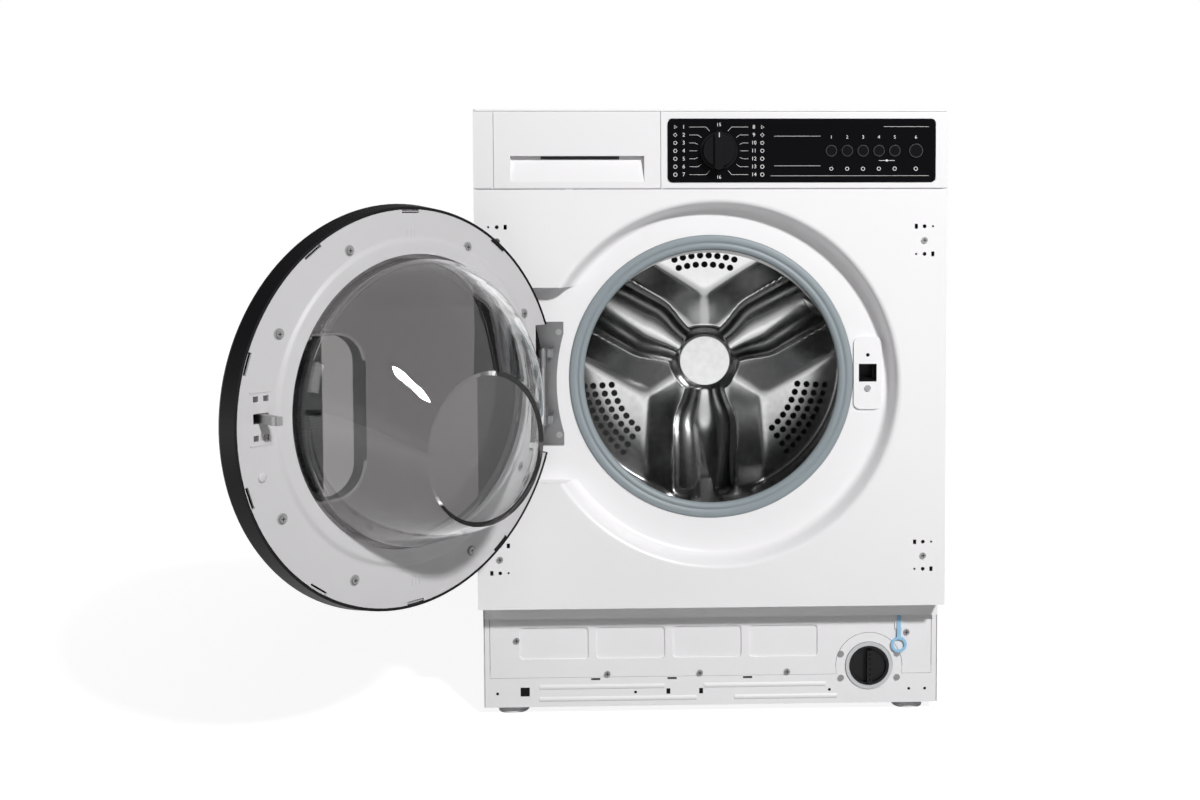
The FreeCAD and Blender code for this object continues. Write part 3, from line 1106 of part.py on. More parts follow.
def tub_rear():
    # Rear half with the bearing hub, stiffening ribs and the two spring hangers
    inner = TUB_RADIUS
    outer = TUB_RADIUS + TUB_WALL
    back = TUB_BACK
    wall = 2 * TUB_WALL
    section = [(inner, TUB_SPLIT), (outer + wall, TUB_SPLIT), (outer + wall, TUB_SPLIT + wall),
               (outer, TUB_SPLIT + wall), (outer, back), (TUB_HUB_RADIUS, back), (TUB_HUB_RADIUS, TUB_HUB_BACK),
               (BEARING_RADIUS, TUB_HUB_BACK), (BEARING_RADIUS, back - 2 * wall),
               (TUB_HUB_RADIUS, back - 2 * wall), (TUB_HUB_RADIUS, back - wall), (inner, back - wall)]
    shell = spin(section, 0, DRUM_Z)
    ribs = []
    for i in range(8):
        rib = block(TUB_HUB_RADIUS - 2, outer - 6, back - 1, back + 14, -TUB_WALL / 2, TUB_WALL / 2)
        rib.rotate(V(0, 0, 0), REARWARD, 45 * i + 22.5)
        rib.translate(V(0, 0, DRUM_Z))
        ribs.append(rib)
    hangers = []
    hollow = rod(0, DRUM_Z, inner + 1, TUB_SPLIT - 1, back + 1)
    for side in (-1, 1):
        ends = sorted((side * inner * 0.6, side * (SPRING_X + SPRING_RADIUS)))
        top = SPRING_BOTTOM - 0.4
        arm = block(ends[0], ends[1], SPRING_DEPTH - 8, SPRING_DEPTH + 8, top - 3 * TUB_WALL, top)
        hangers.append(arm.cut(hollow))
    return joined([shell] + ribs + hangers)


def upper_counterweight():
    top = DRUM_Z + TUB_RADIUS + TUB_WALL + WEIGHT_RISE
    bottom = DRUM_Z + TUB_RADIUS * 0.75
    slab = block(WEIGHT_LEFT, WEIGHT_RIGHT, WEIGHT_FRONT, WEIGHT_BACK, bottom, top)
    return rounded_along(slab, 8, REARWARD).cut(rod(0, DRUM_Z, TUB_RADIUS + TUB_WALL + DOOR_FIT, 0, TUB_BACK))


def wash_heater():
    z = DRUM_Z - HEATER_DROP
    x = HEATER_HALF_WIDTH
    back = TUB_FRONT + HEATER_LENGTH
    bars = [rod(side * x, z, HEATER_ROD_RADIUS, TUB_FRONT - 6, back) for side in (-1, 1)]
    turn = Part.makeCylinder(HEATER_ROD_RADIUS, 2 * x, V(-x, y_at(back), z), V(1, 0, 0))
    ends = [Part.makeSphere(HEATER_ROD_RADIUS, V(side * x, y_at(back), z)) for side in (-1, 1)]
    half = x + 2 * HEATER_ROD_RADIUS - 0.5
    seal = block(-half, half, TUB_FRONT - 3, TUB_FRONT + TUB_WALL,
                 z - HEATER_ROD_RADIUS - 0.7, z + HEATER_ROD_RADIUS + 0.7)
    return joined(bars + [turn, seal] + ends)


def drum_bearings():
    rings = []
    front = TUB_BACK - 4 * TUB_WALL
    for start in (front, TUB_HUB_BACK - BEARING_WIDTH):
        rings.append(tube(0, DRUM_Z, BEARING_RADIUS, SHAFT_RADIUS + ROD_RUN, start, start + BEARING_WIDTH))
    return Part.makeCompound(rings)


def drum_shell():
    r = DRUM_RADIUS
    t = DRUM_SHEET
    mouth = DRUM_MOUTH
    section = [(mouth, DRUM_FRONT), (r - 4, DRUM_FRONT), (r, DRUM_FRONT + 4), (r, DRUM_BACK), (r - t, DRUM_BACK),
               (r - t, DRUM_FRONT + 4 + t), (r - 4 - t, DRUM_FRONT + t), (mouth + t, DRUM_FRONT + t),
               (mouth + t, DRUM_FRONT + 9), (mouth, DRUM_FRONT + 9)]
    return spin(section, 0, DRUM_Z)


def lobe_angles():
    return [30 + 360.0 / LIFTER_COUNT * i for i in range(LIFTER_COUNT)]


def lobe(shift, shrink):
    # One drafted arm of the drum back: narrow at the hub and flaring towards the wall
    reach = DRUM_RADIUS - 9 - shrink
    base = DRUM_BACK - DRUM_SHEET + shift
    top = base - BACK_EMBOSS
    hub_half = HUB_RADIUS * 0.75 - shrink
    end_half = reach * 0.36 - shrink
    foot_line = [(0, -hub_half), (reach * 0.45, -hub_half - 6), (reach, -end_half), (reach, end_half),
                 (reach * 0.45, hub_half + 6), (0, hub_half)]
    draft = 10
    crest = [(0, -hub_half + draft), (reach * 0.45, -hub_half - 6 + draft), (reach - draft, -end_half + draft),
             (reach - draft, end_half - draft), (reach * 0.45, hub_half + 6 - draft), (0, hub_half - draft)]
    low = Part.makePolygon([V(x, y_at(base + 0.01), z) for x, z in foot_line + foot_line[:1]])
    high = Part.makePolygon([V(x, y_at(top), z) for x, z in crest + crest[:1]])
    return Part.makeLoft([low, high], True, True)


def placed_lobes(shift, shrink):
    lobes = []
    for angle in lobe_angles():
        arm = lobe(shift, shrink)
        arm.rotate(V(0, 0, 0), REARWARD, -angle)
        arm.translate(V(0, 0, DRUM_Z))
        lobes.append(arm.common(rod(0, DRUM_Z, DRUM_RADIUS - DRUM_SHEET - shrink, DRUM_FRONT, TUB_BACK)))
    return lobes


def drum_back():
    # Pressed steel end wall: round hub and three raised arms standing towards the door
    rim = DRUM_RADIUS - DRUM_SHEET
    disc = rod(0, DRUM_Z, rim, DRUM_BACK - DRUM_SHEET, DRUM_BACK)
    crest = DRUM_BACK - DRUM_SHEET - BACK_EMBOSS - 2
    hub_section = [(0, crest), (HUB_RADIUS - 4, crest), (HUB_RADIUS, crest + 3),
                   (HUB_RADIUS + 10, DRUM_BACK - DRUM_SHEET), (0, DRUM_BACK - DRUM_SHEET)]
    raised = joined([disc, spin(hub_section, 0, DRUM_Z)] + placed_lobes(0, 0))
    under = [(r - DRUM_SHEET if r > 0 else 0, d + DRUM_SHEET) for r, d in hub_section]
    hollow = joined([spin(under, 0, DRUM_Z)] + placed_lobes(DRUM_SHEET, DRUM_SHEET))
    return raised.cut(hollow)


def drum_lifters():
    # Three hollow moulded paddles, ridged towards the drum axis
    lifters = []
    r = DRUM_RADIUS - DRUM_SHEET
    start = DRUM_FRONT + LIFTER_FRONT_GAP
    end = DRUM_BACK - DRUM_SHEET - BACK_EMBOSS - LIFTER_BACK_GAP
    ridge_start = start + LIFTER_FRONT_SLOPE
    ridge_end = end - LIFTER_BACK_SLOPE
    base = r - 4
    top = r - LIFTER_HEIGHT
    half = LIFTER_WIDTH / 2
    for angle in lobe_angles():
        foot = Part.makePolygon([V(base, y_at(start), -half), V(base, y_at(end), -half),
                                 V(base, y_at(end), half), V(base, y_at(start), half),
                                 V(base, y_at(start), -half)])
        ridge_half = half * 0.3
        ridge = Part.makePolygon([V(top, y_at(ridge_start), -ridge_half), V(top, y_at(ridge_end), -ridge_half),
                                  V(top, y_at(ridge_end), ridge_half), V(top, y_at(ridge_start), ridge_half),
                                  V(top, y_at(ridge_start), -ridge_half)])
        skirt = block(base - 0.01, r + 4, start, end, -half, half)
        paddle = joined([Part.makeLoft([foot, ridge], True, True), skirt])
        paddle.rotate(V(0, 0, 0), REARWARD, -angle)
        paddle.translate(V(0, 0, DRUM_Z))
        lifters.append(paddle.common(rod(0, DRUM_Z, r, DRUM_FRONT, DRUM_BACK)))
    return Part.makeCompound(lifters)


def drum_spider():
    # Cast cross behind the drum with its shaft
    start = DRUM_BACK + 0.5
    back = start + SPIDER_THICKNESS
    parts = [rod(0, DRUM_Z, TUB_HUB_RADIUS, start, back)]
    for angle in lobe_angles():
        arm = block(0, DRUM_RADIUS - 8, start, back, -SPIDER_ARM_WIDTH / 2, SPIDER_ARM_WIDTH / 2)
        arm.rotate(V(0, 0, 0), REARWARD, -angle)
        arm.translate(V(0, 0, DRUM_Z))
        parts.append(arm)
    parts.append(rod(0, DRUM_Z, SHAFT_RADIUS, start, SHAFT_END))
    return joined(parts)


def drum_pulley():
    front = PULLEY_PLACE
    back = front + PULLEY_WIDTH
    rim = tube(0, DRUM_Z, PULLEY_RADIUS, PULLEY_RADIUS - 10, front, back)
    hub = rod(0, DRUM_Z, 2 * SHAFT_RADIUS, front, back)
    spokes = []
    for i in range(PULLEY_SPOKES):
        spoke = block(SHAFT_RADIUS + 5, PULLEY_RADIUS - 5, front + 3, back - 3, -9, 9)
        spoke.rotate(V(0, 0, 0), REARWARD, 360.0 / PULLEY_SPOKES * i)
        spoke.translate(V(0, 0, DRUM_Z))
        spokes.append(spoke)
    return joined([rim, hub] + spokes).cut(rod(0, DRUM_Z, SHAFT_RADIUS, 0, CABINET_DEPTH))


def belt_loop(grow, d0, d1):
    # Both pulleys and the straight runs that touch them
    r1 = PULLEY_RADIUS + grow
    r2 = MOTOR_PULLEY_RADIUS + grow
    span = math.hypot(MOTOR_X, DRUM_Z - MOTOR_Z)
    along = math.atan2(MOTOR_Z - DRUM_Z, MOTOR_X)
    lean = math.acos((r1 - r2) / span)
    corners = []
    for turn, first in ((along + lean, True), (along - lean, False)):
        big = (r1 * math.cos(turn), DRUM_Z + r1 * math.sin(turn))
        small = (MOTOR_X + r2 * math.cos(turn), MOTOR_Z + r2 * math.sin(turn))
        corners += [big, small] if first else [small, big]
    runs = plate(corners, d0, d1)
    return joined([runs, rod(0, DRUM_Z, r1, d0, d1), rod(MOTOR_X, MOTOR_Z, r2, d0, d1)])


def drive_belt():
    front = PULLEY_PLACE + 2
    back = PULLEY_PLACE + PULLEY_WIDTH - 2
    return belt_loop(DOOR_FIT + BELT_THICKNESS, front, back).cut(belt_loop(DOOR_FIT, front - 1, back + 1))


def drive_motor():
    length = MOTOR_BACK - MOTOR_FRONT
    section = [(MOTOR_SHAFT_RADIUS + ROD_RUN, MOTOR_FRONT), (MOTOR_RADIUS * 0.6, MOTOR_FRONT),
               (MOTOR_RADIUS, MOTOR_FRONT + length * 0.15), (MOTOR_RADIUS, MOTOR_BACK - length * 0.15),
               (MOTOR_RADIUS * 0.6, MOTOR_BACK), (MOTOR_SHAFT_RADIUS + ROD_RUN, MOTOR_BACK)]
    case = spin(section, MOTOR_X, MOTOR_Z)
    lugs = []
    for start in (MOTOR_FRONT + length * 0.2, MOTOR_BACK - length * 0.35):
        lugs.append(block(MOTOR_X - 24, MOTOR_X + 24, start, start + 20,
                          MOTOR_Z + MOTOR_RADIUS * 0.7, DRUM_Z - TUB_RADIUS / 2))
    keep = rod(0, DRUM_Z, TUB_RADIUS + TUB_WALL + DOOR_FIT, 0, CABINET_DEPTH)
    return joined([case] + lugs).cut(keep)


def motor_pulley():
    wheel = rod(MOTOR_X, MOTOR_Z, MOTOR_PULLEY_RADIUS, PULLEY_PLACE, PULLEY_PLACE + PULLEY_WIDTH)
    shaft = rod(MOTOR_X, MOTOR_Z, MOTOR_SHAFT_RADIUS, MOTOR_FRONT - 4, PULLEY_PLACE + PULLEY_WIDTH + 2)
    return joined([wheel, shaft])


def damper_cylinders():
    tubes = []
    for side in (-1, 1):
        case = post(side * DAMPER_X, DAMPER_DEPTH, DAMPER_RADIUS, DAMPER_FOOT, DAMPER_FOOT + DAMPER_HEIGHT)
        bore = post(side * DAMPER_X, DAMPER_DEPTH, ROD_RADIUS + ROD_RUN, DAMPER_FOOT + DAMPER_FLOOR, TOP)
        tubes.append(case.cut(bore))
    return Part.makeCompound(tubes)


def damper_rods():
    rods = []
    keep = rod(0, DRUM_Z, TUB_RADIUS + TUB_WALL + DOOR_FIT, 0, CABINET_DEPTH)
    start = DAMPER_FOOT + DAMPER_FLOOR + 2 * TUB_TRAVEL
    head_low = DAMPER_FOOT + DAMPER_HEIGHT + DAMPER_HEAD_GAP
    for side in (-1, 1):
        stem = post(side * DAMPER_X, DAMPER_DEPTH, ROD_RADIUS, start, DRUM_Z)
        head = post(side * DAMPER_X, DAMPER_DEPTH, DAMPER_RADIUS, head_low, DRUM_Z)
        rods.append(joined([stem, head]).cut(keep))
    solids = []
    for piece in rods:
        solids.append(min(piece.Solids, key=lambda s: s.BoundBox.ZMin))
    return Part.makeCompound(solids)


def suspension_springs():
    coils = []
    for side in (-1, 1):
        outer = post(side * SPRING_X, SPRING_DEPTH, SPRING_RADIUS, SPRING_BOTTOM, SPRING_TOP)
        inner = post(side * SPRING_X, SPRING_DEPTH, SPRING_RADIUS - SPRING_WIRE, SPRING_BOTTOM - 1, SPRING_TOP + 1)
        coils.append(outer.cut(inner))
    return Part.makeCompound(coils)


def drying_duct():
    # Hot-air duct and fan scroll carried on top of the tub
    t = DUCT_WALL
    box = block(DUCT_LEFT, DUCT_RIGHT, DUCT_FRONT, FAN_DEPTH, DUCT_BOTTOM, DUCT_TOP)
    scroll = post(FAN_X, FAN_DEPTH, FAN_HOUSING_RADIUS, DUCT_BOTTOM, DUCT_TOP)
    box_hollow = block(DUCT_LEFT + t, DUCT_RIGHT - t, DUCT_FRONT + t, FAN_DEPTH, DUCT_BOTTOM + t, DUCT_TOP - t)
    scroll_hollow = post(FAN_X, FAN_DEPTH, FAN_HOUSING_RADIUS - t, DUCT_BOTTOM + t, DUCT_TOP - t)
    shell = joined([box, scroll]).cut([box_hollow, scroll_hollow])
    keep = rod(0, DRUM_Z, TUB_RADIUS + TUB_WALL + DOOR_FIT, 0, CABINET_DEPTH)
    legs = []
    for x in (FAN_X - 40, FAN_X + 40):
        leg = post(x, FAN_DEPTH + 20, 10, DRUM_Z + 140, DUCT_BOTTOM + t / 2).cut(keep)
        legs.append(max(leg.Solids, key=lambda s: s.BoundBox.ZMax))
    weight_top = DRUM_Z + TUB_RADIUS + TUB_WALL + WEIGHT_RISE
    legs.append(post(DUCT_LEFT + 40, WEIGHT_BACK - 40, 10, weight_top, DUCT_BOTTOM + t / 2))
    bore = post(FAN_X, FAN_DEPTH, FAN_SHAFT_RADIUS + ROD_RUN, DUCT_BOTTOM - 1, DUCT_BOTTOM + t + 1)
    return joined([shell] + legs).cut(bore)


def fan_impeller():
    low = DUCT_BOTTOM + DUCT_WALL + 2
    disc = post(FAN_X, FAN_DEPTH, FAN_RADIUS, low, low + 2)
    shaft = post(FAN_X, FAN_DEPTH, FAN_SHAFT_RADIUS, DUCT_BOTTOM - 6, low + FAN_HEIGHT)
    blades = []
    for i in range(FAN_BLADES):
        blade = Part.makeBox(14, 1.5, FAN_HEIGHT, V(FAN_RADIUS - 15, -0.75, low + 1))
        blade.rotate(V(0, 0, 0), UP, 360.0 / FAN_BLADES * i)
        blade.translate(V(FAN_X, y_at(FAN_DEPTH), 0))
        blades.append(blade)
    return joined([disc, shaft] + blades)


def inlet_valve():
    wall = CABINET_DEPTH - SHEET
    body = block(VALVE_X - 20, VALVE_X + 20, wall - 48, wall - 4, VALVE_Z - 18, VALVE_Z + 18)
    collar = rod(VALVE_X, VALVE_Z, VALVE_THREAD_RADIUS + 4, wall - 6, wall - 0.2)
    thread = rod(VALVE_X, VALVE_Z, VALVE_THREAD_RADIUS, wall - 6, CABINET_DEPTH + VALVE_THREAD)
    bore = rod(VALVE_X, VALVE_Z, VALVE_THREAD_RADIUS - 4, CABINET_DEPTH - 2, CABINET_DEPTH + VALVE_THREAD + 1)
    return joined([body, collar, thread]).cut(bore)


def rear_spigot(x, z, radius, reach, bore):
    wall = CABINET_DEPTH - SHEET
    collar = rod(x, z, radius + 4, wall - 6, wall - 0.2)
    neck = rod(x, z, radius, wall - 14, CABINET_DEPTH + reach)
    return joined([collar, neck]).cut(rod(x, z, bore, wall - 20, CABINET_DEPTH + reach + 1))


def drain_outlet():
    return rear_spigot(SPOUT_X, SPOUT_Z, SPOUT_RADIUS, SPOUT_LENGTH, SPOUT_RADIUS - 2)


def mains_gland():
    return rear_spigot(GLAND_X, GLAND_Z, GLAND_RADIUS, GLAND_RADIUS, GLAND_RADIUS / 2)


def cabinet_screws():
    screws = [screw_head(x, z, 0, 8) for x, z in fixing_groups()]
    screws += [screw_head(x, z, PLINTH_SETBACK, 3) for x, z in service_screws()]
    screws += [screw_head(x, z, PLINTH_SETBACK, 12) for x, z in filter_screws()]
    screws += [screw_head(BRACKET_SCREW_X, z, RECESS_DEPTH - BRACKET_THICKNESS, 8) for z in bracket_screws()]
    screws.append(screw_head(LOCK_X, LOCK_Z - LOCK_WINDOW * 0.85, RECESS_DEPTH - LOCK_PAD_HEIGHT, 10))
    return Part.makeCompound(screws)


pieces = {
    "front_panel": front_panel,
    "left_side_panel": lambda: side_panel(-1),
    "right_side_panel": lambda: side_panel(1),
    "back_panel": back_panel,
    "top_cover": top_cover,
    "base_tray": base_tray,
    "plinth_panel": plinth_panel,
    "plinth_crossmember": plinth_crossmember,
    "control_fascia": control_fascia,
    "control_window": control_window,
    "drawer_housing": drawer_housing,
    "door_lock": door_lock,
    "hinge_bracket": hinge_bracket,
    "hinge_pin": hinge_pin,
    "filter_housing": filter_housing,
    "inlet_valve": inlet_valve,
    "drain_outlet": drain_outlet,
    "mains_gland": mains_gland,
    "damper_cylinders": damper_cylinders,
    "suspension_springs": suspension_springs,
    "door_gasket": door_gasket,
    "cabinet_screws": cabinet_screws,
    "release_pull": release_pull,
    "program_knob": program_knob,
    "filter_cap": filter_cap,
    "tub_front": tub_front,
    "tub_rear": tub_rear,
    "upper_counterweight": upper_counterweight,
    "wash_heater": wash_heater,
    "drive_motor": drive_motor,
    "drum_bearings": drum_bearings,
    "damper_rods": damper_rods,
    "drive_belt": drive_belt,
    "drying_duct": drying_duct,
    "drum_shell": drum_shell,
    "drum_back": drum_back,
    "drum_lifters": drum_lifters,
    "drum_spider": drum_spider,
    "drum_pulley": drum_pulley,
    "motor_pulley": motor_pulley,
    "fan_impeller": fan_impeller,
    "door_outer_cover": door_outer_cover,
    "door_outer_ring": door_outer_ring,
    "door_inner_frame": door_inner_frame,
    "door_glass": door_glass,
    "door_screws": door_screws,
    "hinge_arms": hinge_arms,
    "door_hook": door_hook,
    "drawer_front": drawer_front,
    "drawer_tray": drawer_tray,
}

os.makedirs("parts", exist_ok=True)
for name, make in pieces.items():
    make().exportStep("parts/" + name + ".step")
for number, (x, depth) in enumerate(foot_places(), 1):
    foot(x, depth).exportStep("parts/foot_%d.step" % number)
for number, (x, radius) in enumerate(button_places(), 1):
    button(x, radius).exportStep("parts/button_%d.step" % number)
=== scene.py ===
import bpy
import math
from mathutils import Matrix, Vector


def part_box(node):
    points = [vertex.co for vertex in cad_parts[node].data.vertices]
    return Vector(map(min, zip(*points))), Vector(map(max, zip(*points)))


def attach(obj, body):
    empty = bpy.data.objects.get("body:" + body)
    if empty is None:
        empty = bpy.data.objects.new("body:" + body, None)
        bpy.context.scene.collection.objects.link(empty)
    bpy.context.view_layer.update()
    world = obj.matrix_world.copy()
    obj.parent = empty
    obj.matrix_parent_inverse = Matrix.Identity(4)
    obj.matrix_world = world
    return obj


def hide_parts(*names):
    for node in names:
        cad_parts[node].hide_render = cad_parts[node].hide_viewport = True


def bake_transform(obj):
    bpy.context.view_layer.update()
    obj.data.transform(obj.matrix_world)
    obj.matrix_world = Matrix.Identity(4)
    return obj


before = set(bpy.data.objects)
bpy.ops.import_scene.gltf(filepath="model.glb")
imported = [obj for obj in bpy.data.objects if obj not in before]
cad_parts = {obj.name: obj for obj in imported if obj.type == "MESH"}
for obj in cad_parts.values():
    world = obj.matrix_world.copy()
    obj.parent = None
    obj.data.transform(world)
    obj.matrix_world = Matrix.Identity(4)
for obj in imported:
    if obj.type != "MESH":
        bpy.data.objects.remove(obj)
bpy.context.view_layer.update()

# Cabinet shell. Four sheets of mild steel, sprayed with white enamel after forming.
# The dished front is one deep pressing; the sides and the lid are folded flat sheets
# that are screwed to it.
ENAMEL = (0.86, 0.85, 0.86)


def finish(name, colour, rough, metal=0.0, grain=180.0, mottle=0.03, bump=0.02, coat=0.0, shine=0.5):
    mat = bpy.data.materials.new(name)
    mat.use_nodes = True
    nodes = mat.node_tree.nodes
    links = mat.node_tree.links
    shader = nodes["Principled BSDF"]
    place = nodes.new("ShaderNodeTexCoord")
    broad = nodes.new("ShaderNodeTexNoise")
    broad.inputs["Scale"].default_value = 9.0
    broad.inputs["Detail"].default_value = 3.0
    fine = nodes.new("ShaderNodeTexNoise")
    fine.inputs["Scale"].default_value = grain
    fine.inputs["Detail"].default_value = 4.0
    links.new(place.outputs["Object"], broad.inputs["Vector"])
    links.new(place.outputs["Object"], fine.inputs["Vector"])
    tone = nodes.new("ShaderNodeMix")
    tone.data_type = "RGBA"
    tone.inputs["A"].default_value = [c * (1 - mottle) for c in colour] + [1]
    tone.inputs["B"].default_value = [min(1, c * (1 + mottle)) for c in colour] + [1]
    links.new(broad.outputs["Fac"], tone.inputs["Factor"])
    links.new(tone.outputs["Result"], shader.inputs["Base Color"])
    sheen = nodes.new("ShaderNodeMapRange")
    sheen.inputs["To Min"].default_value = max(0.02, rough - 0.06)
    sheen.inputs["To Max"].default_value = min(1.0, rough + 0.06)
    links.new(fine.outputs["Fac"], sheen.inputs["Value"])
    links.new(sheen.outputs["Result"], shader.inputs["Roughness"])
    relief = nodes.new("ShaderNodeBump")
    relief.inputs["Strength"].default_value = bump
    relief.inputs["Distance"].default_value = 0.001
    links.new(fine.outputs["Fac"], relief.inputs["Height"])
    links.new(relief.outputs["Normal"], shader.inputs["Normal"])
    shader.inputs["Metallic"].default_value = metal
    shader.inputs["Specular IOR Level"].default_value = shine
    shader.inputs["Coat Weight"].default_value = coat
    shader.inputs["Coat Roughness"].default_value = 0.08
    return mat


def dress(mat, *names):
    for name in names:
        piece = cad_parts[name]
        piece.data.materials.clear()
        piece.data.materials.append(mat)


enamel = finish("white enamel", ENAMEL, 0.36, grain=520.0, mottle=0.012, bump=0.03, coat=0.15)
dress(enamel, "front_panel", "left_side_panel", "right_side_panel", "top_cover")

# Back panel and base tray. Galvanised sheet, left bare because neither shows in a kitchen;
# both are folded at their edges and screwed to the sides.
ZINC = (0.50, 0.52, 0.54)
zinc = finish("zinc sheet", ZINC, 0.42, metal=0.85, grain=60.0, mottle=0.10, bump=0.05)
dress(zinc, "back_panel", "base_tray")

# Plinth. A removable service sheet with pressed fields, and the rail below it, both in
# enamelled steel that is thinner and duller than the front. Screws hold it at its edges.
plinth_paint = finish("plinth enamel", (0.83, 0.82, 0.83), 0.45, grain=300.0, mottle=0.03, bump=0.05)
dress(plinth_paint, "plinth_panel", "plinth_crossmember")

# Cabinet screws and hinge. Zinc plated screws with domed heads, and a pressed steel bracket
# with a turned pin and two arms; the bracket is screwed into the front's pocket.
plated = finish("plated steel", (0.40, 0.40, 0.40), 0.34, metal=1.0, grain=240.0, mottle=0.12, bump=0.08)
hinge_steel = finish("hinge steel", (0.26, 0.26, 0.265), 0.38, metal=0.9, grain=200.0, mottle=0.14, bump=0.10)
dress(plated, "cabinet_screws", "hinge_pin")
dress(hinge_steel, "hinge_bracket", "hinge_arms")

# Screw drives. The crossed recess that is struck into a screw's head when it is forged; its shade
# is painted as a dark cross on each of the nine heads on the front and the plinth.
drive_shade = finish("painted recess shade", (0.05, 0.05, 0.05), 0.7, metal=0.4, grain=300.0)
FRONT_Y = -0.270


def mesh_piece(name, points, faces, mat, body, smooth=False):
    mesh = bpy.data.meshes.new(name)
    mesh.from_pydata(points, [], faces)
    mesh.update()
    for face in mesh.polygons:
        face.use_smooth = smooth
    mesh.materials.append(mat)
    piece = bpy.data.objects.new(name, mesh)
    bpy.context.scene.collection.objects.link(piece)
    if body:
        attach(piece, body)
    return piece


def cross_drive(name, x, y, z, reach, mat, body):
    points = []
    faces = []
    for long_x, long_z in ((reach, reach * 0.24), (reach * 0.24, reach)):
        start = len(points)
        points += [(x - long_x, y, z - long_z), (x + long_x, y, z - long_z),
                   (x + long_x, y, z + long_z), (x - long_x, y, z + long_z)]
        faces.append((start, start + 1, start + 2, start + 3))
    return mesh_piece(name, points, faces, mat, body)


number = 0
for sx in (-1, 1):
    for z in (0.2195, 0.6225):
        number += 1
        cross_drive("fixing_drive_%d" % number, sx * 0.269, FRONT_Y - 0.00204, z, 0.0024, drive_shade, "cabinet")
for x, z in ((-0.2545, 0.1005), (0.2565, 0.106), (-0.1365, 0.055), (-0.0155, 0.055), (0.099, 0.055)):
    number += 1
    cross_drive("plinth_drive_%d" % number, x, FRONT_Y + 0.04496, z, 0.0024, drive_shade, "cabinet")

# Rail openings. Slots, notches and round holes pierced in the lower rail on the press;
# near-black quads set just behind them are painted shade for the unlit space behind the sheet.
opening_shade = finish("painted opening shade", (0.012, 0.012, 0.012), 0.9, grain=200.0, mottle=0.2, shine=0.1)
openings = [(-244.0, 32.0, 6.2, 6.2, 48.4)]
openings += [(x, 47.9, 6.2, 1.7, 49.2) for x in (-152.0, -52.0, 47.0)]
openings += [(x, 30.75, 2.7, 3.9, 48.4) for x in (-57.0, -14.0)]
openings += [(x, 30.0, 2.3, 2.3, 48.4) for x in (-280.0, -100.0, 155.0, 260.0, 281.0)]
points = []
faces = []
for x, z, half_x, half_z, depth in openings:
    start = len(points)
    for sx, sz in ((-1, -1), (1, -1), (1, 1), (-1, 1)):
        points.append(((x + sx * half_x) / 1000, FRONT_Y + depth / 1000, (z + sz * half_z) / 1000))
    faces.append((start, start + 1, start + 2, start + 3))
mesh_piece("rail_opening_shade", points, faces, opening_shade, "cabinet")

# Control fascia and drawer front. Injection moulded white plastic with a fine satin
# grain; the drawer slides in its own housing behind, moulded in the same material.
moulded = finish("white moulding", (0.83, 0.82, 0.83), 0.38, grain=800.0, mottle=0.01, bump=0.02)
dress(moulded, "control_fascia", "drawer_front", "drawer_tray", "drawer_housing")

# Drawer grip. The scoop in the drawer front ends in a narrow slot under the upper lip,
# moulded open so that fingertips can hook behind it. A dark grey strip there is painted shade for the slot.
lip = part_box("drawer_front")[0][2] + 0.0412
slot_points = [(-0.2145, FRONT_Y + 0.0084, lip - 0.0042), (-0.1160, FRONT_Y + 0.0084, lip - 0.0042),
               (-0.1160, FRONT_Y + 0.0097, lip - 0.0002), (-0.2145, FRONT_Y + 0.0097, lip - 0.0002)]
slot_painted_shade = finish("painted slot shade", (0.07, 0.07, 0.072), 0.8, grain=300.0, mottle=0.2)
mesh_piece("drawer_grip_slot_shade", slot_points, [(0, 1, 2, 3)], slot_painted_shade, "drawer")

# Control window. A plate of black gloss plastic, moulded flat with rounded corners and
# clipped into the fascia; the knob and the keys come through it.
gloss_black = finish("black gloss plate", (0.003, 0.003, 0.004), 0.16, grain=90.0, mottle=0.2, bump=0.004,
                     shine=0.06)
dress(gloss_black, "control_window")

# Programme ring. White ink, screen printed on the window round the knob: sixteen places,
# each with a number, and those at the sides with a bent leader and a small sign.
print_white = finish("white print", (0.78, 0.78, 0.78), 0.55, grain=900.0, mottle=0.04)
PRINT_Y = FRONT_Y - 0.00083
CONTROL_Z = 0.735
KNOB_X = 0.009


def ring(name, x, z, outer, inner, y, mat, body, steps=40):
    points = []
    faces = []
    for i in range(steps):
        turn = 2 * math.pi * i / steps
        points.append((x + outer * math.cos(turn), y, z + outer * math.sin(turn)))
        points.append((x + inner * math.cos(turn), y, z + inner * math.sin(turn)))
    for i in range(steps):
        a = 2 * i
        b = 2 * ((i + 1) % steps)
        faces.append((a, a + 1, b + 1, b))
    return mesh_piece(name, points, faces, mat, body)


def figure(name, text, x, z, height, y, mat, body):
    curve = bpy.data.curves.new(name + "_letters", "FONT")
    curve.body = text
    curve.size = height
    curve.align_x = "CENTER"
    curve.align_y = "CENTER"
    maker = bpy.data.objects.new(name + "_letters", curve)
    mesh = bpy.data.meshes.new_from_object(maker)
    bpy.data.objects.remove(maker)
    mesh.transform(Matrix.Translation((x, y, z)) @ Matrix.Rotation(math.pi / 2, 4, "X"))
    mesh.materials.clear()
    mesh.materials.append(mat)
    piece = bpy.data.objects.new(name, mesh)
    bpy.context.scene.collection.objects.link(piece)
    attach(piece, body)
    return piece


def stroke(points, faces, x0, z0, x1, z1, width):
    # One printed line between two places, as a thin flat strip
    length = math.hypot(x1 - x0, z1 - z0)
    side_x = -(z1 - z0) / length * width / 2
    side_z = (x1 - x0) / length * width / 2
    start = len(points)
    points += [(x0 - side_x, PRINT_Y, z0 - side_z), (x1 - side_x, PRINT_Y, z1 - side_z),
               (x1 + side_x, PRINT_Y, z1 + side_z), (x0 + side_x, PRINT_Y, z0 + side_z)]
    faces.append((start, start + 1, start + 2, start + 3))


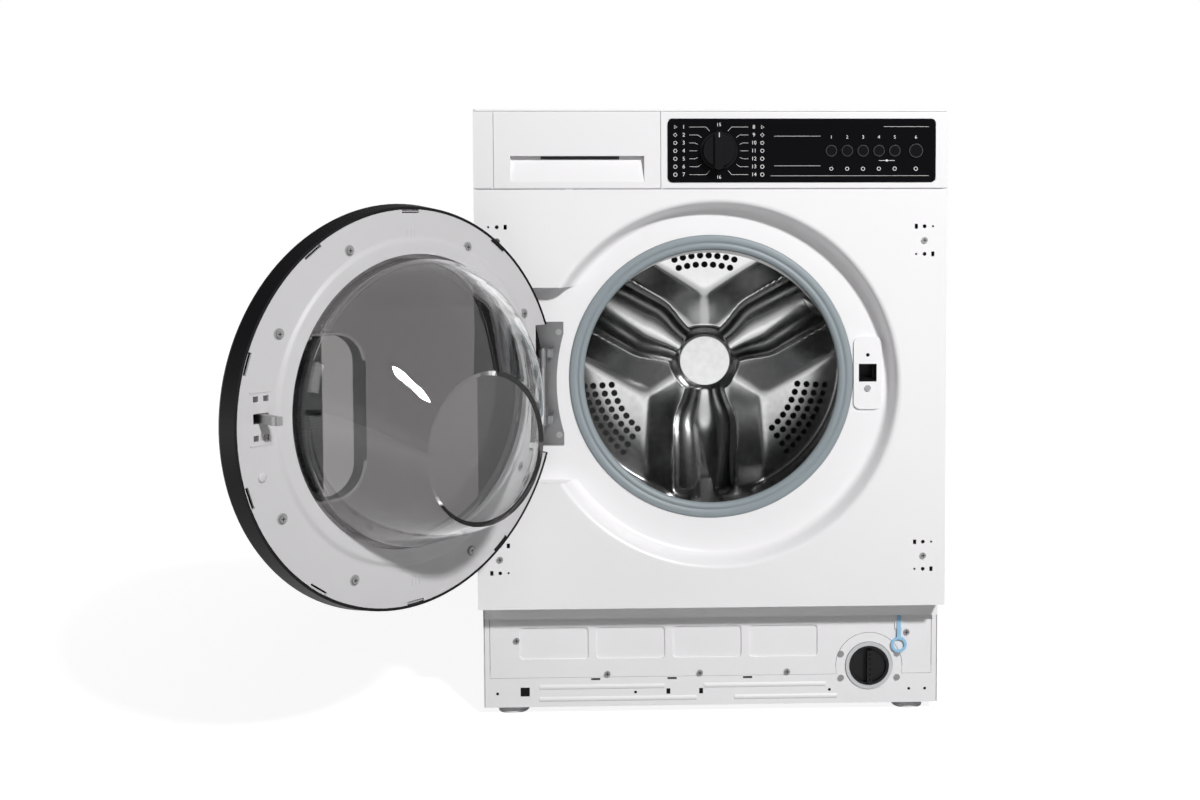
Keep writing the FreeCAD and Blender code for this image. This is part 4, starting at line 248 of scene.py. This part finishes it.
place = 0
points = []
faces = []
for side in (-1, 1):
    for row in range(7):
        place += 1
        rise = 0.0297 - row * 0.0099
        z = CONTROL_Z + rise
        end_z = 0.83 * rise
        end_x = math.sqrt(0.0272 ** 2 - end_z ** 2)
        knee = end_x + 0.0045
        stroke(points, faces, KNOB_X + side * max(0.0370, knee + 0.001), z, KNOB_X + side * knee, z, 0.0004)
        stroke(points, faces, KNOB_X + side * knee, z, KNOB_X + side * end_x, CONTROL_Z + end_z, 0.0004)
        figure("dial_number_%d" % place, str(place), KNOB_X + side * 0.0440, z, 0.0066, PRINT_Y, print_white, "cabinet")
        ring("dial_sign_%d" % place, KNOB_X + side * 0.0545, z, 0.0026, 0.0019, PRINT_Y, print_white, "cabinet",
             3 + row)
mesh_piece("dial_leaders", points, faces, print_white, "cabinet")
figure("dial_number_15", "15", KNOB_X, CONTROL_Z + 0.0325, 0.006, PRINT_Y, print_white, "cabinet")
figure("dial_number_16", "16", KNOB_X, CONTROL_Z - 0.0330, 0.006, PRINT_Y, print_white, "cabinet")

# Window rules. Four thin lines printed in the same white ink; two mark the display's
# place, and two frame the row of keys.


def bar(name, x0, x1, z0, z1, y, mat, body):
    points = [(x0, y, z0), (x1, y, z0), (x1, y, z1), (x0, y, z1)]
    return mesh_piece(name, points, [(0, 1, 2, 3)], mat, body)


for number, (x0, x1, z) in enumerate(((0.0785, 0.1367, 0.7533), (0.0785, 0.1367, 0.7162),
                                      (0.2165, 0.2735, 0.7652), (0.0740, 0.2735, 0.7037)), 1):
    bar("window_rule_%d" % number, x0, x1, z - 0.0002, z + 0.0002, PRINT_Y, print_white, "cabinet")

# Programme knob. A black moulding with a raised grip bar, pushed on its spindle through
# the window. A white line on the bar points at the programme.
knob_black = finish("knob black", (0.004, 0.004, 0.005), 0.38, grain=700.0, mottle=0.1, bump=0.05, shine=0.12)
dress(knob_black, "program_knob")
knob_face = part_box("program_knob")[0][1]
bar("knob_pointer", KNOB_X - 0.0005, KNOB_X + 0.0005, CONTROL_Z + 0.016, CONTROL_Z + 0.022, knob_face + 0.0005,
    print_white, "knob")

# Keys. Six round black caps, moulded and sprung behind the window, each with a thin grey
# ring. A number is printed on the window above each, and a sign below.
key_black = finish("key black", (0.004, 0.004, 0.005), 0.28, grain=500.0, mottle=0.1, bump=0.02, shine=0.08)
key_ring = finish("key ring", (0.055, 0.057, 0.06), 0.4, grain=500.0, mottle=0.05)
KEYS = [(0.1504 + 0.020 * i, 0.0078) for i in range(5)] + [(0.2572, 0.0094)]
for number, (x, radius) in enumerate(KEYS, 1):
    dress(key_black, "button_%d" % number)
    cap_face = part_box("button_%d" % number)[0][1]
    ring("key_ring_%d" % number, x, CONTROL_Z, radius - 0.0009, radius - 0.0014, cap_face - 0.00002, key_ring,
         "key_%d" % number)
    figure("key_number_%d" % number, str(number), x, CONTROL_Z + 0.0170, 0.0058, PRINT_Y, print_white, "cabinet")
    ring("key_sign_%d" % number, x, CONTROL_Z - 0.0225, 0.0026, 0.0019, PRINT_Y, print_white, "cabinet", 4 + number)

# Key link. A short line with a dot, printed on the window, which joins the fourth and the
# fifth key as a pair.
bar("key_link", 0.2104, 0.2304, CONTROL_Z - 0.0125, CONTROL_Z - 0.0119, PRINT_Y, print_white, "cabinet")
ring("key_link_dot", 0.2204, CONTROL_Z - 0.0122, 0.0014, 0.0001, PRINT_Y - 0.00001, print_white, "cabinet", 16)

# Door gasket. One soft grey rubber moulding: a rolled lip over the steel throat, a
# sealing lip for the glass, and a skirt that is clamped on the tub's neck.
rubber = finish("grey rubber", (0.26, 0.30, 0.32), 0.50, grain=420.0, mottle=0.05, bump=0.08)
THROAT_Z = 0.447
DRUM_Z = 0.428


def y_at(depth):
    return depth / 1000.0 + FRONT_Y


def turned(name, loop, centre_of, mat, steps=128):
    # Sweeps a closed section of (radius, depth) round the door's axis
    points = []
    faces = []
    count = len(loop)
    for i in range(steps):
        turn = 2 * math.pi * i / steps
        for radius, depth in loop:
            x, z = centre_of(depth)
            points.append((x + radius / 1000 * math.cos(turn), y_at(depth), z + radius / 1000 * math.sin(turn)))
    for i in range(steps):
        a = i * count
        b = (i + 1) % steps * count
        for j in range(count):
            k = (j + 1) % count
            faces.append((a + j, a + k, b + k, b + j))
    return mesh_piece(name, points, faces, mat, None, smooth=True)


def gasket_centre(depth):
    share = min(1.0, max(0.0, (depth - 42.0) / 34.0))
    return 0.0, THROAT_Z + (DRUM_Z - THROAT_Z) * share


GASKET = [(163.0, 31.0), (163.4, 29.0), (164.8, 27.4), (167.5, 26.1), (170.0, 25.7), (171.2, 27.2), (172.4, 27.2),
          (173.6, 25.6), (176.0, 25.2), (179.5, 25.4), (181.6, 26.2), (182.4, 27.5), (179.5, 27.6), (179.5, 42.0),
          (182.0, 62.0), (195.2, 76.0), (195.2, 89.0), (190.6, 89.0), (190.6, 76.0), (178.0, 62.0), (173.8, 42.0),
          (172.6, 38.0), (168.0, 35.0), (164.5, 33.5)]
gasket = turned("gasket_skirt", GASKET, gasket_centre, rubber)
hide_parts("door_gasket")
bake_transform(gasket)

# Drum shell. A sheet of stainless steel, pierced all over, then rolled to a cylinder and
# seamed; its rows of small holes, painted as near-black spots of shade, let the water through to the tub.
SHELL_R = 0.2368


def perforated(name):
    mat = finish(name, (0.50, 0.50, 0.50), 0.20, metal=1.0, grain=160.0, mottle=0.05, bump=0.01)
    nodes = mat.node_tree.nodes
    links = mat.node_tree.links
    shader = nodes["Principled BSDF"]
    place = nodes.new("ShaderNodeTexCoord")
    parts = nodes.new("ShaderNodeSeparateXYZ")
    links.new(place.outputs["Object"], parts.inputs["Vector"])

    def math_node(kind, a, b=None):
        node = nodes.new("ShaderNodeMath")
        node.operation = kind
        for slot, value in enumerate((a, b)):
            if value is None:
                continue
            if isinstance(value, (int, float)):
                node.inputs[slot].default_value = value
            else:
                links.new(value, node.inputs[slot])
        return node.outputs["Value"]

    height = math_node("SUBTRACT", parts.outputs["Z"], DRUM_Z)
    angle = math_node("ARCTAN2", height, parts.outputs["X"])
    around = math_node("MULTIPLY", angle, SHELL_R / 0.017)
    along = math_node("MULTIPLY", parts.outputs["Y"], 1 / 0.0125)
    row = math_node("FLOOR", along)
    shift = math_node("MULTIPLY", row, 0.5)
    u = math_node("SUBTRACT", math_node("FRACT", math_node("ADD", around, shift)), 0.5)
    v = math_node("SUBTRACT", math_node("FRACT", along), 0.5)
    far = math_node("SQRT", math_node("ADD", math_node("MULTIPLY", u, u), math_node("MULTIPLY", v, v)))
    hole = math_node("LESS_THAN", far, 0.17)
    # Painted shade: the hole spots are coloured near black for the shade behind them
    tone = nodes["Mix"]
    shell_hole_shade = nodes.new("ShaderNodeMix")
    shell_hole_shade.data_type = "RGBA"
    shell_hole_shade.inputs["B"].default_value = (0.01, 0.01, 0.01, 1)
    links.new(hole, shell_hole_shade.inputs["Factor"])
    links.new(tone.outputs["Result"], shell_hole_shade.inputs["A"])
    links.new(shell_hole_shade.outputs["Result"], shader.inputs["Base Color"])
    return mat


dress(perforated("perforated stainless"), "drum_shell")

# Drum back. One pressing of polished stainless steel with a round hub, three broad arms
# and raised pads between them, seamed into the rear edge of the shell.
steel = finish("polished stainless", (0.73, 0.73, 0.73), 0.175, metal=1.0, grain=120.0, mottle=0.05, bump=0.01)


def ease(low, high, value):
    share = min(1.0, max(0.0, (value - low) / (high - low)))
    return share * share * (3 - 2 * share)


def rounded(share, corner=0.16):
    # A straight slope from 0 to 1 with both of its bends rounded off
    if share < corner:
        return max(0.0, share + corner) ** 2 / (4 * corner)
    if share > 1 - corner:
        return 1 - max(0.0, 1 + corner - share) ** 2 / (4 * corner)
    return share


def back_height(r, turn):
    # Height of the pressing above its rim plane, in millimetres
    lean = (math.degrees(turn) - 30.0 + 60.0) % 120.0 - 60.0
    across = abs(r * math.sin(math.radians(lean)))
    crease = r * math.sin(math.radians(60.0 - abs(lean)))
    across -= max(0.0, 8.0 - crease) ** 2 / 32.0
    half = 29.0 + 18.0 * ease(45.0, 115.0, r)
    bulge = max(0.0, 1 - (across / half) ** 2)
    arm = (21.0 + 3.0 * ease(45.0, 110.0, r)) * bulge ** 0.62 * (1 - ease(200.0, 218.0, r))
    hub = 23.0 * (1 - ease(39.0, 56.0, r))
    pad = (14.0 + 6.5 * ease(96.0, 205.0, r)) * rounded((across - half) / (91.0 - half)) * (1 - ease(207.0, 228.0, r))
    return max(arm, hub, pad)


BACK_DEPTH = 412.8
rings = 96
spokes = 288
points = [(0.0, y_at(BACK_DEPTH - back_height(0.0, 0.0)), DRUM_Z)]
faces = []
for i in range(1, rings + 1):
    r = 236.5 * i / rings
    for j in range(spokes):
        turn = 2 * math.pi * j / spokes
        points.append((r / 1000 * math.cos(turn), y_at(BACK_DEPTH - back_height(r, turn)),
                       DRUM_Z + r / 1000 * math.sin(turn)))
for j in range(spokes):
    faces.append((0, 1 + j, 1 + (j + 1) % spokes))
for i in range(rings - 1):
    a = 1 + i * spokes
    b = a + spokes
    for j in range(spokes):
        k = (j + 1) % spokes
        faces.append((a + j, b + j, b + k, a + k))
back = mesh_piece("drum_back_pressing", points, faces, steel, "drum", smooth=True)
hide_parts("drum_back")

# Pad holes. Four staggered rows pierced through each pad of the drum back, which widen
# with the pad; each hole is a near-black disc of painted shade, and the punch leaves a rolled rim round it.
pad_hole_shade = finish("painted pad hole shade", (0.008, 0.008, 0.008), 0.8, grain=300.0)
points = []
faces = []
rim_points = []
rim_faces = []
for pad in range(3):
    middle = math.radians(90.0 + 120.0 * pad)
    for row, radius in enumerate((149.0, 163.0, 177.0, 190.0)):
        for i in range(7 + row):
            turn = middle + (i - (6 + row) / 2.0) * 13.4 / radius
            start = len(points)
            x = radius / 1000 * math.cos(turn)
            z = DRUM_Z + radius / 1000 * math.sin(turn)
            depth = BACK_DEPTH - back_height(radius, turn) - 0.4
            for k in range(16):
                round_turn = 2 * math.pi * k / 16
                across = math.cos(round_turn)
                up = math.sin(round_turn)
                points.append((x + 0.0040 * across, y_at(depth), z + 0.0040 * up))
                rim_points.append((x + 0.0040 * across, y_at(depth - 0.5), z + 0.0040 * up))
                rim_points.append((x + 0.0053 * across, y_at(depth + 0.6), z + 0.0053 * up))
                last = (k + 1) % 16
                rim_faces.append((2 * (start + k), 2 * (start + k) + 1, 2 * (start + last) + 1, 2 * (start + last)))
            faces.append(tuple(range(start, start + 16)))
mesh_piece("drum_back_rims", rim_points, rim_faces, steel, "drum", smooth=True)
mesh_piece("drum_back_hole_shade", points, faces, pad_hole_shade, "drum")

# Lifters and drive. The lifters are folded from steel sheet and clipped in the drum. The
# spider, the drum's pulley and the motor's case are die cast alloy; the small pulley, the
# bearings and the heater are plated steel, and the belt is ribbed rubber.
cast = finish("die cast alloy", (0.52, 0.53, 0.54), 0.48, metal=0.9, grain=140.0, mottle=0.10, bump=0.15)
lifter_steel = finish("lifter steel", (0.26, 0.26, 0.26), 0.24, metal=1.0, grain=160.0, mottle=0.06, bump=0.01)
dress(lifter_steel, "drum_lifters")
dress(cast, "drum_spider", "drum_pulley", "drive_motor")
dress(plated, "motor_pulley", "drum_bearings", "wash_heater")
belt_black = finish("belt rubber", (0.02, 0.02, 0.02), 0.7, grain=600.0, mottle=0.2, bump=0.2)
dress(belt_black, "drive_belt")

# Tub, weight and drying duct. The tub is filled polypropylene, moulded in two halves; the
# weight bolted on it is cast iron. The duct, its fan, the dampers, the filter's housing
# and the inlet valve are grey mouldings.
tub_grey = finish("tub polypropylene", (0.60, 0.60, 0.57), 0.55, grain=260.0, mottle=0.05, bump=0.10)
iron = finish("cast iron", (0.10, 0.10, 0.105), 0.65, metal=0.5, grain=90.0, mottle=0.25, bump=0.4)
duct_grey = finish("duct moulding", (0.56, 0.57, 0.58), 0.5, grain=300.0, mottle=0.05, bump=0.06)
dress(tub_grey, "tub_front", "tub_rear", "damper_rods")
dress(iron, "upper_counterweight")
dress(duct_grey, "drying_duct", "fan_impeller", "damper_cylinders", "filter_housing", "inlet_valve")

# Suspension springs. Steel wire wound in a close coil, hooked between the side panel's
# ear and the tub, so they stretch as the tub moves.
for side in (-1, 1):
    points = []
    faces = []
    turns = 22
    steps = turns * 20
    for i in range(steps + 1):
        turn = 2 * math.pi * i / 20
        z = 0.7385 - (0.7385 - 0.5865) * i / steps
        for k in range(8):
            bend = 2 * math.pi * k / 8
            r = 0.0124 + 0.0014 * math.cos(bend)
            points.append((side * 0.228 + r * math.cos(turn), y_at(260) + r * math.sin(turn), z + 0.0014 * math.sin(bend)))
    for i in range(steps):
        for k in range(8):
            m = (k + 1) % 8
            faces.append((i * 8 + k, i * 8 + m, (i + 1) * 8 + m, (i + 1) * 8 + k))
    coil = mesh_piece("spring_coil_left" if side < 0 else "spring_coil_right", points, faces, plated, None, smooth=True)
    if side < 0:
        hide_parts("suspension_springs")
    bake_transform(coil)

# Door. A black moulded ring holds a smoked outer cover; the light grey inner frame is
# screwed to it from inside and clamps the pressed glass bowl. It hangs on steel arms.
ring_black = finish("door ring black", (0.006, 0.006, 0.007), 0.26, grain=600.0, mottle=0.1, bump=0.02, shine=0.2)
frame_grey = finish("door frame moulding", (0.56, 0.55, 0.56), 0.42, grain=700.0, mottle=0.015, bump=0.03)
dress(ring_black, "door_outer_ring")
dress(frame_grey, "door_inner_frame")
dress(plated, "door_screws", "door_hook")


def clear(name, colour, rough, ior):
    mat = finish(name, colour, rough, grain=30.0, mottle=0.01, bump=0.0)
    shader = mat.node_tree.nodes["Principled BSDF"]
    sheen = mat.node_tree.nodes["Map Range"]
    sheen.inputs["To Min"].default_value = rough * 0.6
    sheen.inputs["To Max"].default_value = rough * 1.4
    shader.inputs["Transmission Weight"].default_value = 1.0
    shader.inputs["IOR"].default_value = ior
    return mat


glass = clear("pressed glass", (0.97, 0.98, 0.98), 0.010, 1.45)
smoke = clear("smoked moulding", (0.105, 0.096, 0.099), 0.015, 1.30)
dress(glass, "door_glass")
dress(smoke, "door_outer_cover")

# Finger pocket. A deep recess moulded into the smoked cover on the side away from the
# hinge; its floor is thinner than the face, so it lets more light through.
HINGE = Vector((-0.213, y_at(-6), 0.0))
OPEN = Matrix.Translation(HINGE) @ Matrix.Rotation(math.radians(-130.0), 4, "Z") @ Matrix.Translation(-HINGE)
tree = smoke.node_tree
where = tree.nodes.new("ShaderNodeTexCoord")
behind = tree.nodes.new("ShaderNodeVectorMath")
behind.operation = "SUBTRACT"
behind.inputs[1].default_value = HINGE
inward = tree.nodes.new("ShaderNodeVectorMath")
inward.operation = "DOT_PRODUCT"
inward.inputs[1].default_value = OPEN.to_3x3() @ Vector((0, 1, 0))
pale = tree.nodes.new("ShaderNodeMapRange")
pale.inputs["From Min"].default_value = -0.0075
pale.inputs["From Max"].default_value = -0.0045
tint = tree.nodes.new("ShaderNodeMix")
tint.data_type = "RGBA"
tint.inputs["B"].default_value = (0.21, 0.20, 0.20, 1)
tree.links.new(where.outputs["Object"], behind.inputs[0])
tree.links.new(behind.outputs["Vector"], inward.inputs[0])
tree.links.new(inward.outputs["Value"], pale.inputs["Value"])
tree.links.new(pale.outputs["Result"], tint.inputs["Factor"])
tree.links.new(tree.nodes["Mix"].outputs["Result"], tint.inputs["A"])
tree.links.new(tint.outputs["Result"], tree.nodes["Principled BSDF"].inputs["Base Color"])

# Grip ribs. A black moulded strip with fine level ribs, set on the back of the pocket so
# that fingers don't slip when the door is pulled.


def on_open_door(piece, body="door"):
    piece.data.transform(OPEN)
    piece.data.update()
    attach(piece, body)
    return piece


def brick(points, faces, x0, x1, d0, d1, z0, z1):
    start = len(points)
    for d in (d0, d1):
        for x, z in ((x0, z0), (x1, z0), (x1, z1), (x0, z1)):
            points.append((x / 1000, y_at(d), z / 1000))
    for face in ((0, 1, 2, 3), (7, 6, 5, 4), (0, 4, 5, 1), (1, 5, 6, 2), (2, 6, 7, 3), (3, 7, 4, 0)):
        faces.append(tuple(start + i for i in face))


points = []
faces = []
for i in range(58):
    z = 354.5 + 3.0 * i
    corner = max(0.0, abs(z + 0.8 - 440.0) - 50.0)
    right = 126.0 + math.sqrt(36.0 ** 2 - min(35.9, corner) ** 2)
    brick(points, faces, 119.0, right, -0.95, 0.3, z - 0.65, z + 2.35)
    brick(points, faces, 119.0, right, 0.3, 1.5, z, z + 1.7)
grip_black = finish("grip black", (0.010, 0.010, 0.011), 0.58, grain=500.0, mottle=0.2, bump=0.05, shine=0.1)
on_open_door(mesh_piece("door_grip_ribs", points, faces, grip_black, None))

# Frame shoulder. The inner frame's moulding rises in a rounded step round the glass,
# which stiffens it and covers the clamped edge of the bowl.
points = []
faces = []
SHOULDER = [(171.0, 12.6), (177.0, 12.8), (180.0, 12.7), (181.2, 12.3), (184.2, 10.5), (185.2, 10.15), (187.0, 10.05)]
for i in range(180):
    turn = 2 * math.pi * i / 180
    for radius, depth in SHOULDER:
        points.append((radius / 1000 * math.cos(turn), y_at(depth), THROAT_Z + radius / 1000 * math.sin(turn)))
for i in range(180):
    a = i * len(SHOULDER)
    b = (i + 1) % 180 * len(SHOULDER)
    for j in range(len(SHOULDER) - 1):
        faces.append((a + j, b + j, b + j + 1, a + j + 1))
on_open_door(mesh_piece("door_frame_shoulder", points, faces, frame_grey, None, smooth=True))

# Hook ledges and stop. Two low ledges moulded on the inner frame above and below the
# hook, and under them a round domed stop that faces the front when the door is shut.
DOOR_FACE = 10.0
points = []
faces = []
for z in (478.5, 424.5):
    brick(points, faces, 188.0, 214.0, DOOR_FACE, DOOR_FACE + 0.8, z - 0.7, z + 0.7)
on_open_door(mesh_piece("door_hook_ledges", points, faces, frame_grey, None))
points = []
faces = []
STOP = [(5.0, 0.0), (4.9, 1.0), (4.2, 1.7), (2.6, 2.1), (0.9, 2.2)]
for radius, height in STOP:
    for k in range(24):
        turn = 2 * math.pi * k / 24
        points.append((0.201 + radius / 1000 * math.cos(turn), y_at(DOOR_FACE + height),
                       0.391 + radius / 1000 * math.sin(turn)))
for j in range(len(STOP) - 1):
    for k in range(24):
        m = (k + 1) % 24
        faces.append((j * 24 + k, j * 24 + m, j * 24 + 24 + m, j * 24 + 24 + k))
faces.append(tuple(range(96, 120)))
on_open_door(mesh_piece("door_stop", points, faces, frame_grey, None, smooth=True))

# Mould marks. Three short raised strokes at the top and three at the bottom of the inner
# frame, cut into the moulding tool to guide the fitting of the glass.
points = []
faces = []
for z in (636.0, 244.0):
    for x in (0.0, 5.0, 10.0):
        brick(points, faces, x - 0.7, x + 0.7, DOOR_FACE, DOOR_FACE + 0.5, z - 5, z + 5)
on_open_door(mesh_piece("door_mould_marks", points, faces, frame_grey, None))

# Door screw heads. Eight plated screws, sunk into seats in the inner frame; on each a dark cross
# is painted shade for its crossed recess, and a grey ring is painted shade at the edge of its seat.
seat_shade = finish("painted seat shade", (0.30, 0.30, 0.30), 0.6, grain=400.0, mottle=0.08)
for i, angle in enumerate((29.0, 65.0, 115.0, 151.0, 209.0, 245.0, 295.0, 331.0)):
    turn = math.radians(angle)
    drive = cross_drive("door_drive_%d" % (i + 1), (6.0 + 197.0 * math.cos(turn)) / 1000, y_at(DOOR_FACE + 2.04),
                        (440.0 + 197.0 * math.sin(turn)) / 1000, 0.0024, drive_shade, None)
    on_open_door(drive)
    seat = ring("door_seat_%d" % (i + 1), (6.0 + 197.0 * math.cos(turn)) / 1000, (440.0 + 197.0 * math.sin(turn)) / 1000,
                0.0062, 0.0039, y_at(DOOR_FACE + 0.06), seat_shade, None)
    on_open_door(seat)

# Lock case, filter cap and rear fittings. Black moulded nylon: the lock is screwed behind
# the front, the cap turns in its housing, and the outlet and gland clip into the back.
nylon = finish("black nylon", (0.009, 0.009, 0.010), 0.45, grain=400.0, mottle=0.15, bump=0.06, shine=0.3)
dress(nylon, "door_lock", "filter_cap", "drain_outlet", "mains_gland")

# Levelling feet. White moulded pads on threaded stems, screwed up into the corners of the
# base tray and turned by hand to level the machine.
dress(moulded, "foot_1", "foot_2", "foot_3", "foot_4")

# Emergency release. A pale blue flexible strap with a finger ring at its end, moulded in
# one piece and hung beside the filter; a pull on it frees the door's lock.
strap_blue = finish("release strap", (0.30, 0.55, 0.76), 0.5, grain=500.0, mottle=0.03, bump=0.04)
dress(strap_blue, "release_pull")

# Studio floor. A wide pale sheet that takes the machine's soft shadow. It shows as white
# to the camera and through glass; polished steel mirrors it dimmer close to the machine.
floor_white = finish("studio floor", (0.44, 0.44, 0.44), 0.9, grain=40.0, mottle=0.004, bump=0.0)
floor = mesh_piece("studio_floor", [(-9, -9, 0), (9, -9, 0), (9, 9, 0), (-9, 9, 0)], [(0, 1, 2, 3)], floor_white, None)
tree = floor_white.node_tree
seen = tree.nodes.new("ShaderNodeLightPath")
lift = tree.nodes.new("ShaderNodeMath")
lift.operation = "MULTIPLY"
ground = tree.nodes.new("ShaderNodeTexCoord")
reach = tree.nodes.new("ShaderNodeVectorMath")
reach.operation = "LENGTH"
tree.links.new(ground.outputs["Object"], reach.inputs[0])
paling = tree.nodes.new("ShaderNodeMapRange")
paling.inputs["From Min"].default_value = 0.6
paling.inputs["From Max"].default_value = 2.2
paling.inputs["To Min"].default_value = 0.86
paling.inputs["To Max"].default_value = 1.0
tree.links.new(reach.outputs["Value"], paling.inputs["Value"])
tree.links.new(paling.outputs["Result"], lift.inputs[1])
near = tree.nodes.new("ShaderNodeMapRange")
near.inputs["From Min"].default_value = 1.4
near.inputs["From Max"].default_value = 3.4
near.inputs["To Min"].default_value = 0.3
near.inputs["To Max"].default_value = 1.0
tree.links.new(reach.outputs["Value"], near.inputs["Value"])
mirrored = tree.nodes.new("ShaderNodeMath")
mirrored.operation = "MULTIPLY"
tree.links.new(near.outputs["Result"], mirrored.inputs[0])
tree.links.new(seen.outputs["Is Glossy Ray"], mirrored.inputs[1])
direct = tree.nodes.new("ShaderNodeMath")
direct.operation = "MAXIMUM"
tree.links.new(seen.outputs["Is Camera Ray"], direct.inputs[0])
tree.links.new(seen.outputs["Is Transmission Ray"], direct.inputs[1])
shown = tree.nodes.new("ShaderNodeMath")
shown.operation = "MAXIMUM"
tree.links.new(direct.outputs["Value"], shown.inputs[0])
tree.links.new(mirrored.outputs["Value"], shown.inputs[1])
tree.links.new(shown.outputs["Value"], lift.inputs[0])
tree.links.new(lift.outputs["Value"], tree.nodes["Principled BSDF"].inputs["Emission Strength"])
tree.nodes["Principled BSDF"].inputs["Emission Color"].default_value = (1, 1, 1, 1)

# Studio room. White behind the machine and through its glass, with a weak even light from
# all sides; polished parts mirror pale walls near eye level and a dim ceiling.
world = bpy.data.worlds.new("studio")
bpy.context.scene.world = world
world.use_nodes = True
tree = world.node_tree
room = tree.nodes["Background"]
room.inputs["Color"].default_value = (1, 1, 1, 1)
room.inputs["Strength"].default_value = 0.12
white = tree.nodes.new("ShaderNodeBackground")
white.inputs["Color"].default_value = (1, 1, 1, 1)
white.inputs["Strength"].default_value = 1.0
ray = tree.nodes.new("ShaderNodeLightPath")
either = tree.nodes.new("ShaderNodeMath")
either.operation = "MAXIMUM"
tree.links.new(ray.outputs["Is Camera Ray"], either.inputs[0])
tree.links.new(ray.outputs["Is Transmission Ray"], either.inputs[1])
aim = tree.nodes.new("ShaderNodeTexCoord")
rise = tree.nodes.new("ShaderNodeSeparateXYZ")
tree.links.new(aim.outputs["Generated"], rise.inputs["Vector"])
wall = tree.nodes.new("ShaderNodeMapRange")
wall.inputs["From Min"].default_value = 0.04
wall.inputs["From Max"].default_value = 0.20
wall.inputs["To Min"].default_value = 0.6
wall.inputs["To Max"].default_value = 0.0
tree.links.new(rise.outputs["Z"], wall.inputs["Value"])
mirrored = tree.nodes.new("ShaderNodeMath")
mirrored.operation = "MULTIPLY"
tree.links.new(wall.outputs["Result"], mirrored.inputs[0])
tree.links.new(ray.outputs["Is Glossy Ray"], mirrored.inputs[1])
shown = tree.nodes.new("ShaderNodeMath")
shown.operation = "MAXIMUM"
tree.links.new(either.outputs["Value"], shown.inputs[0])
tree.links.new(mirrored.outputs["Value"], shown.inputs[1])
mixer = tree.nodes.new("ShaderNodeMixShader")
tree.links.new(shown.outputs["Value"], mixer.inputs[0])
tree.links.new(room.outputs["Background"], mixer.inputs[1])
tree.links.new(white.outputs["Background"], mixer.inputs[2])
tree.links.new(mixer.outputs["Shader"], tree.nodes["World Output"].inputs["Surface"])

# Lamps. A small key lamp stands high on the right in front of the machine, and a broad
# weak one on the left. Both are aimed at its middle.


def lamp(name, place, aim, power, width):
    light = bpy.data.lights.new(name, "AREA")
    light.energy = power
    light.shape = "RECTANGLE"
    light.size = width
    light.size_y = width * 0.7
    holder = bpy.data.objects.new(name, light)
    holder.location = place
    holder.rotation_mode = "QUATERNION"
    holder.rotation_quaternion = (Vector(aim) - Vector(place)).to_track_quat("-Z", "Y")
    bpy.context.scene.collection.objects.link(holder)


lamp("key", (1.3, -3.0, 2.3), (0, -0.2, 0.4), 116.0, 0.32)
lamp("left", (-2.8, -2.0, 1.4), (0, 0, 0.4), 10.0, 1.4)

# Camera. Placed by fitting the cabinet's edges and the open door to the photograph, with
# the lens shifted sideways and down to frame the machine as it does.
camera = bpy.data.cameras.new("photo camera")
camera.sensor_width = 36.0
camera.lens = 41.698
camera.shift_x = -0.0986
camera.shift_y = -0.1000
holder = bpy.data.objects.new("photo camera", camera)
holder.location = (-0.0509, -2.0169, 0.6636)
yaw = Matrix.Rotation(math.radians(-1.933), 4, "Z")
pitch = Matrix.Rotation(math.radians(90.0 - 2.969), 4, "X")
roll = Matrix.Rotation(math.radians(-0.113), 4, "Z")
holder.rotation_euler = (yaw @ pitch @ roll).to_euler()
bpy.context.scene.collection.objects.link(holder)
bpy.context.scene.camera = holder
bpy.context.scene.view_settings.view_transform = "Standard"
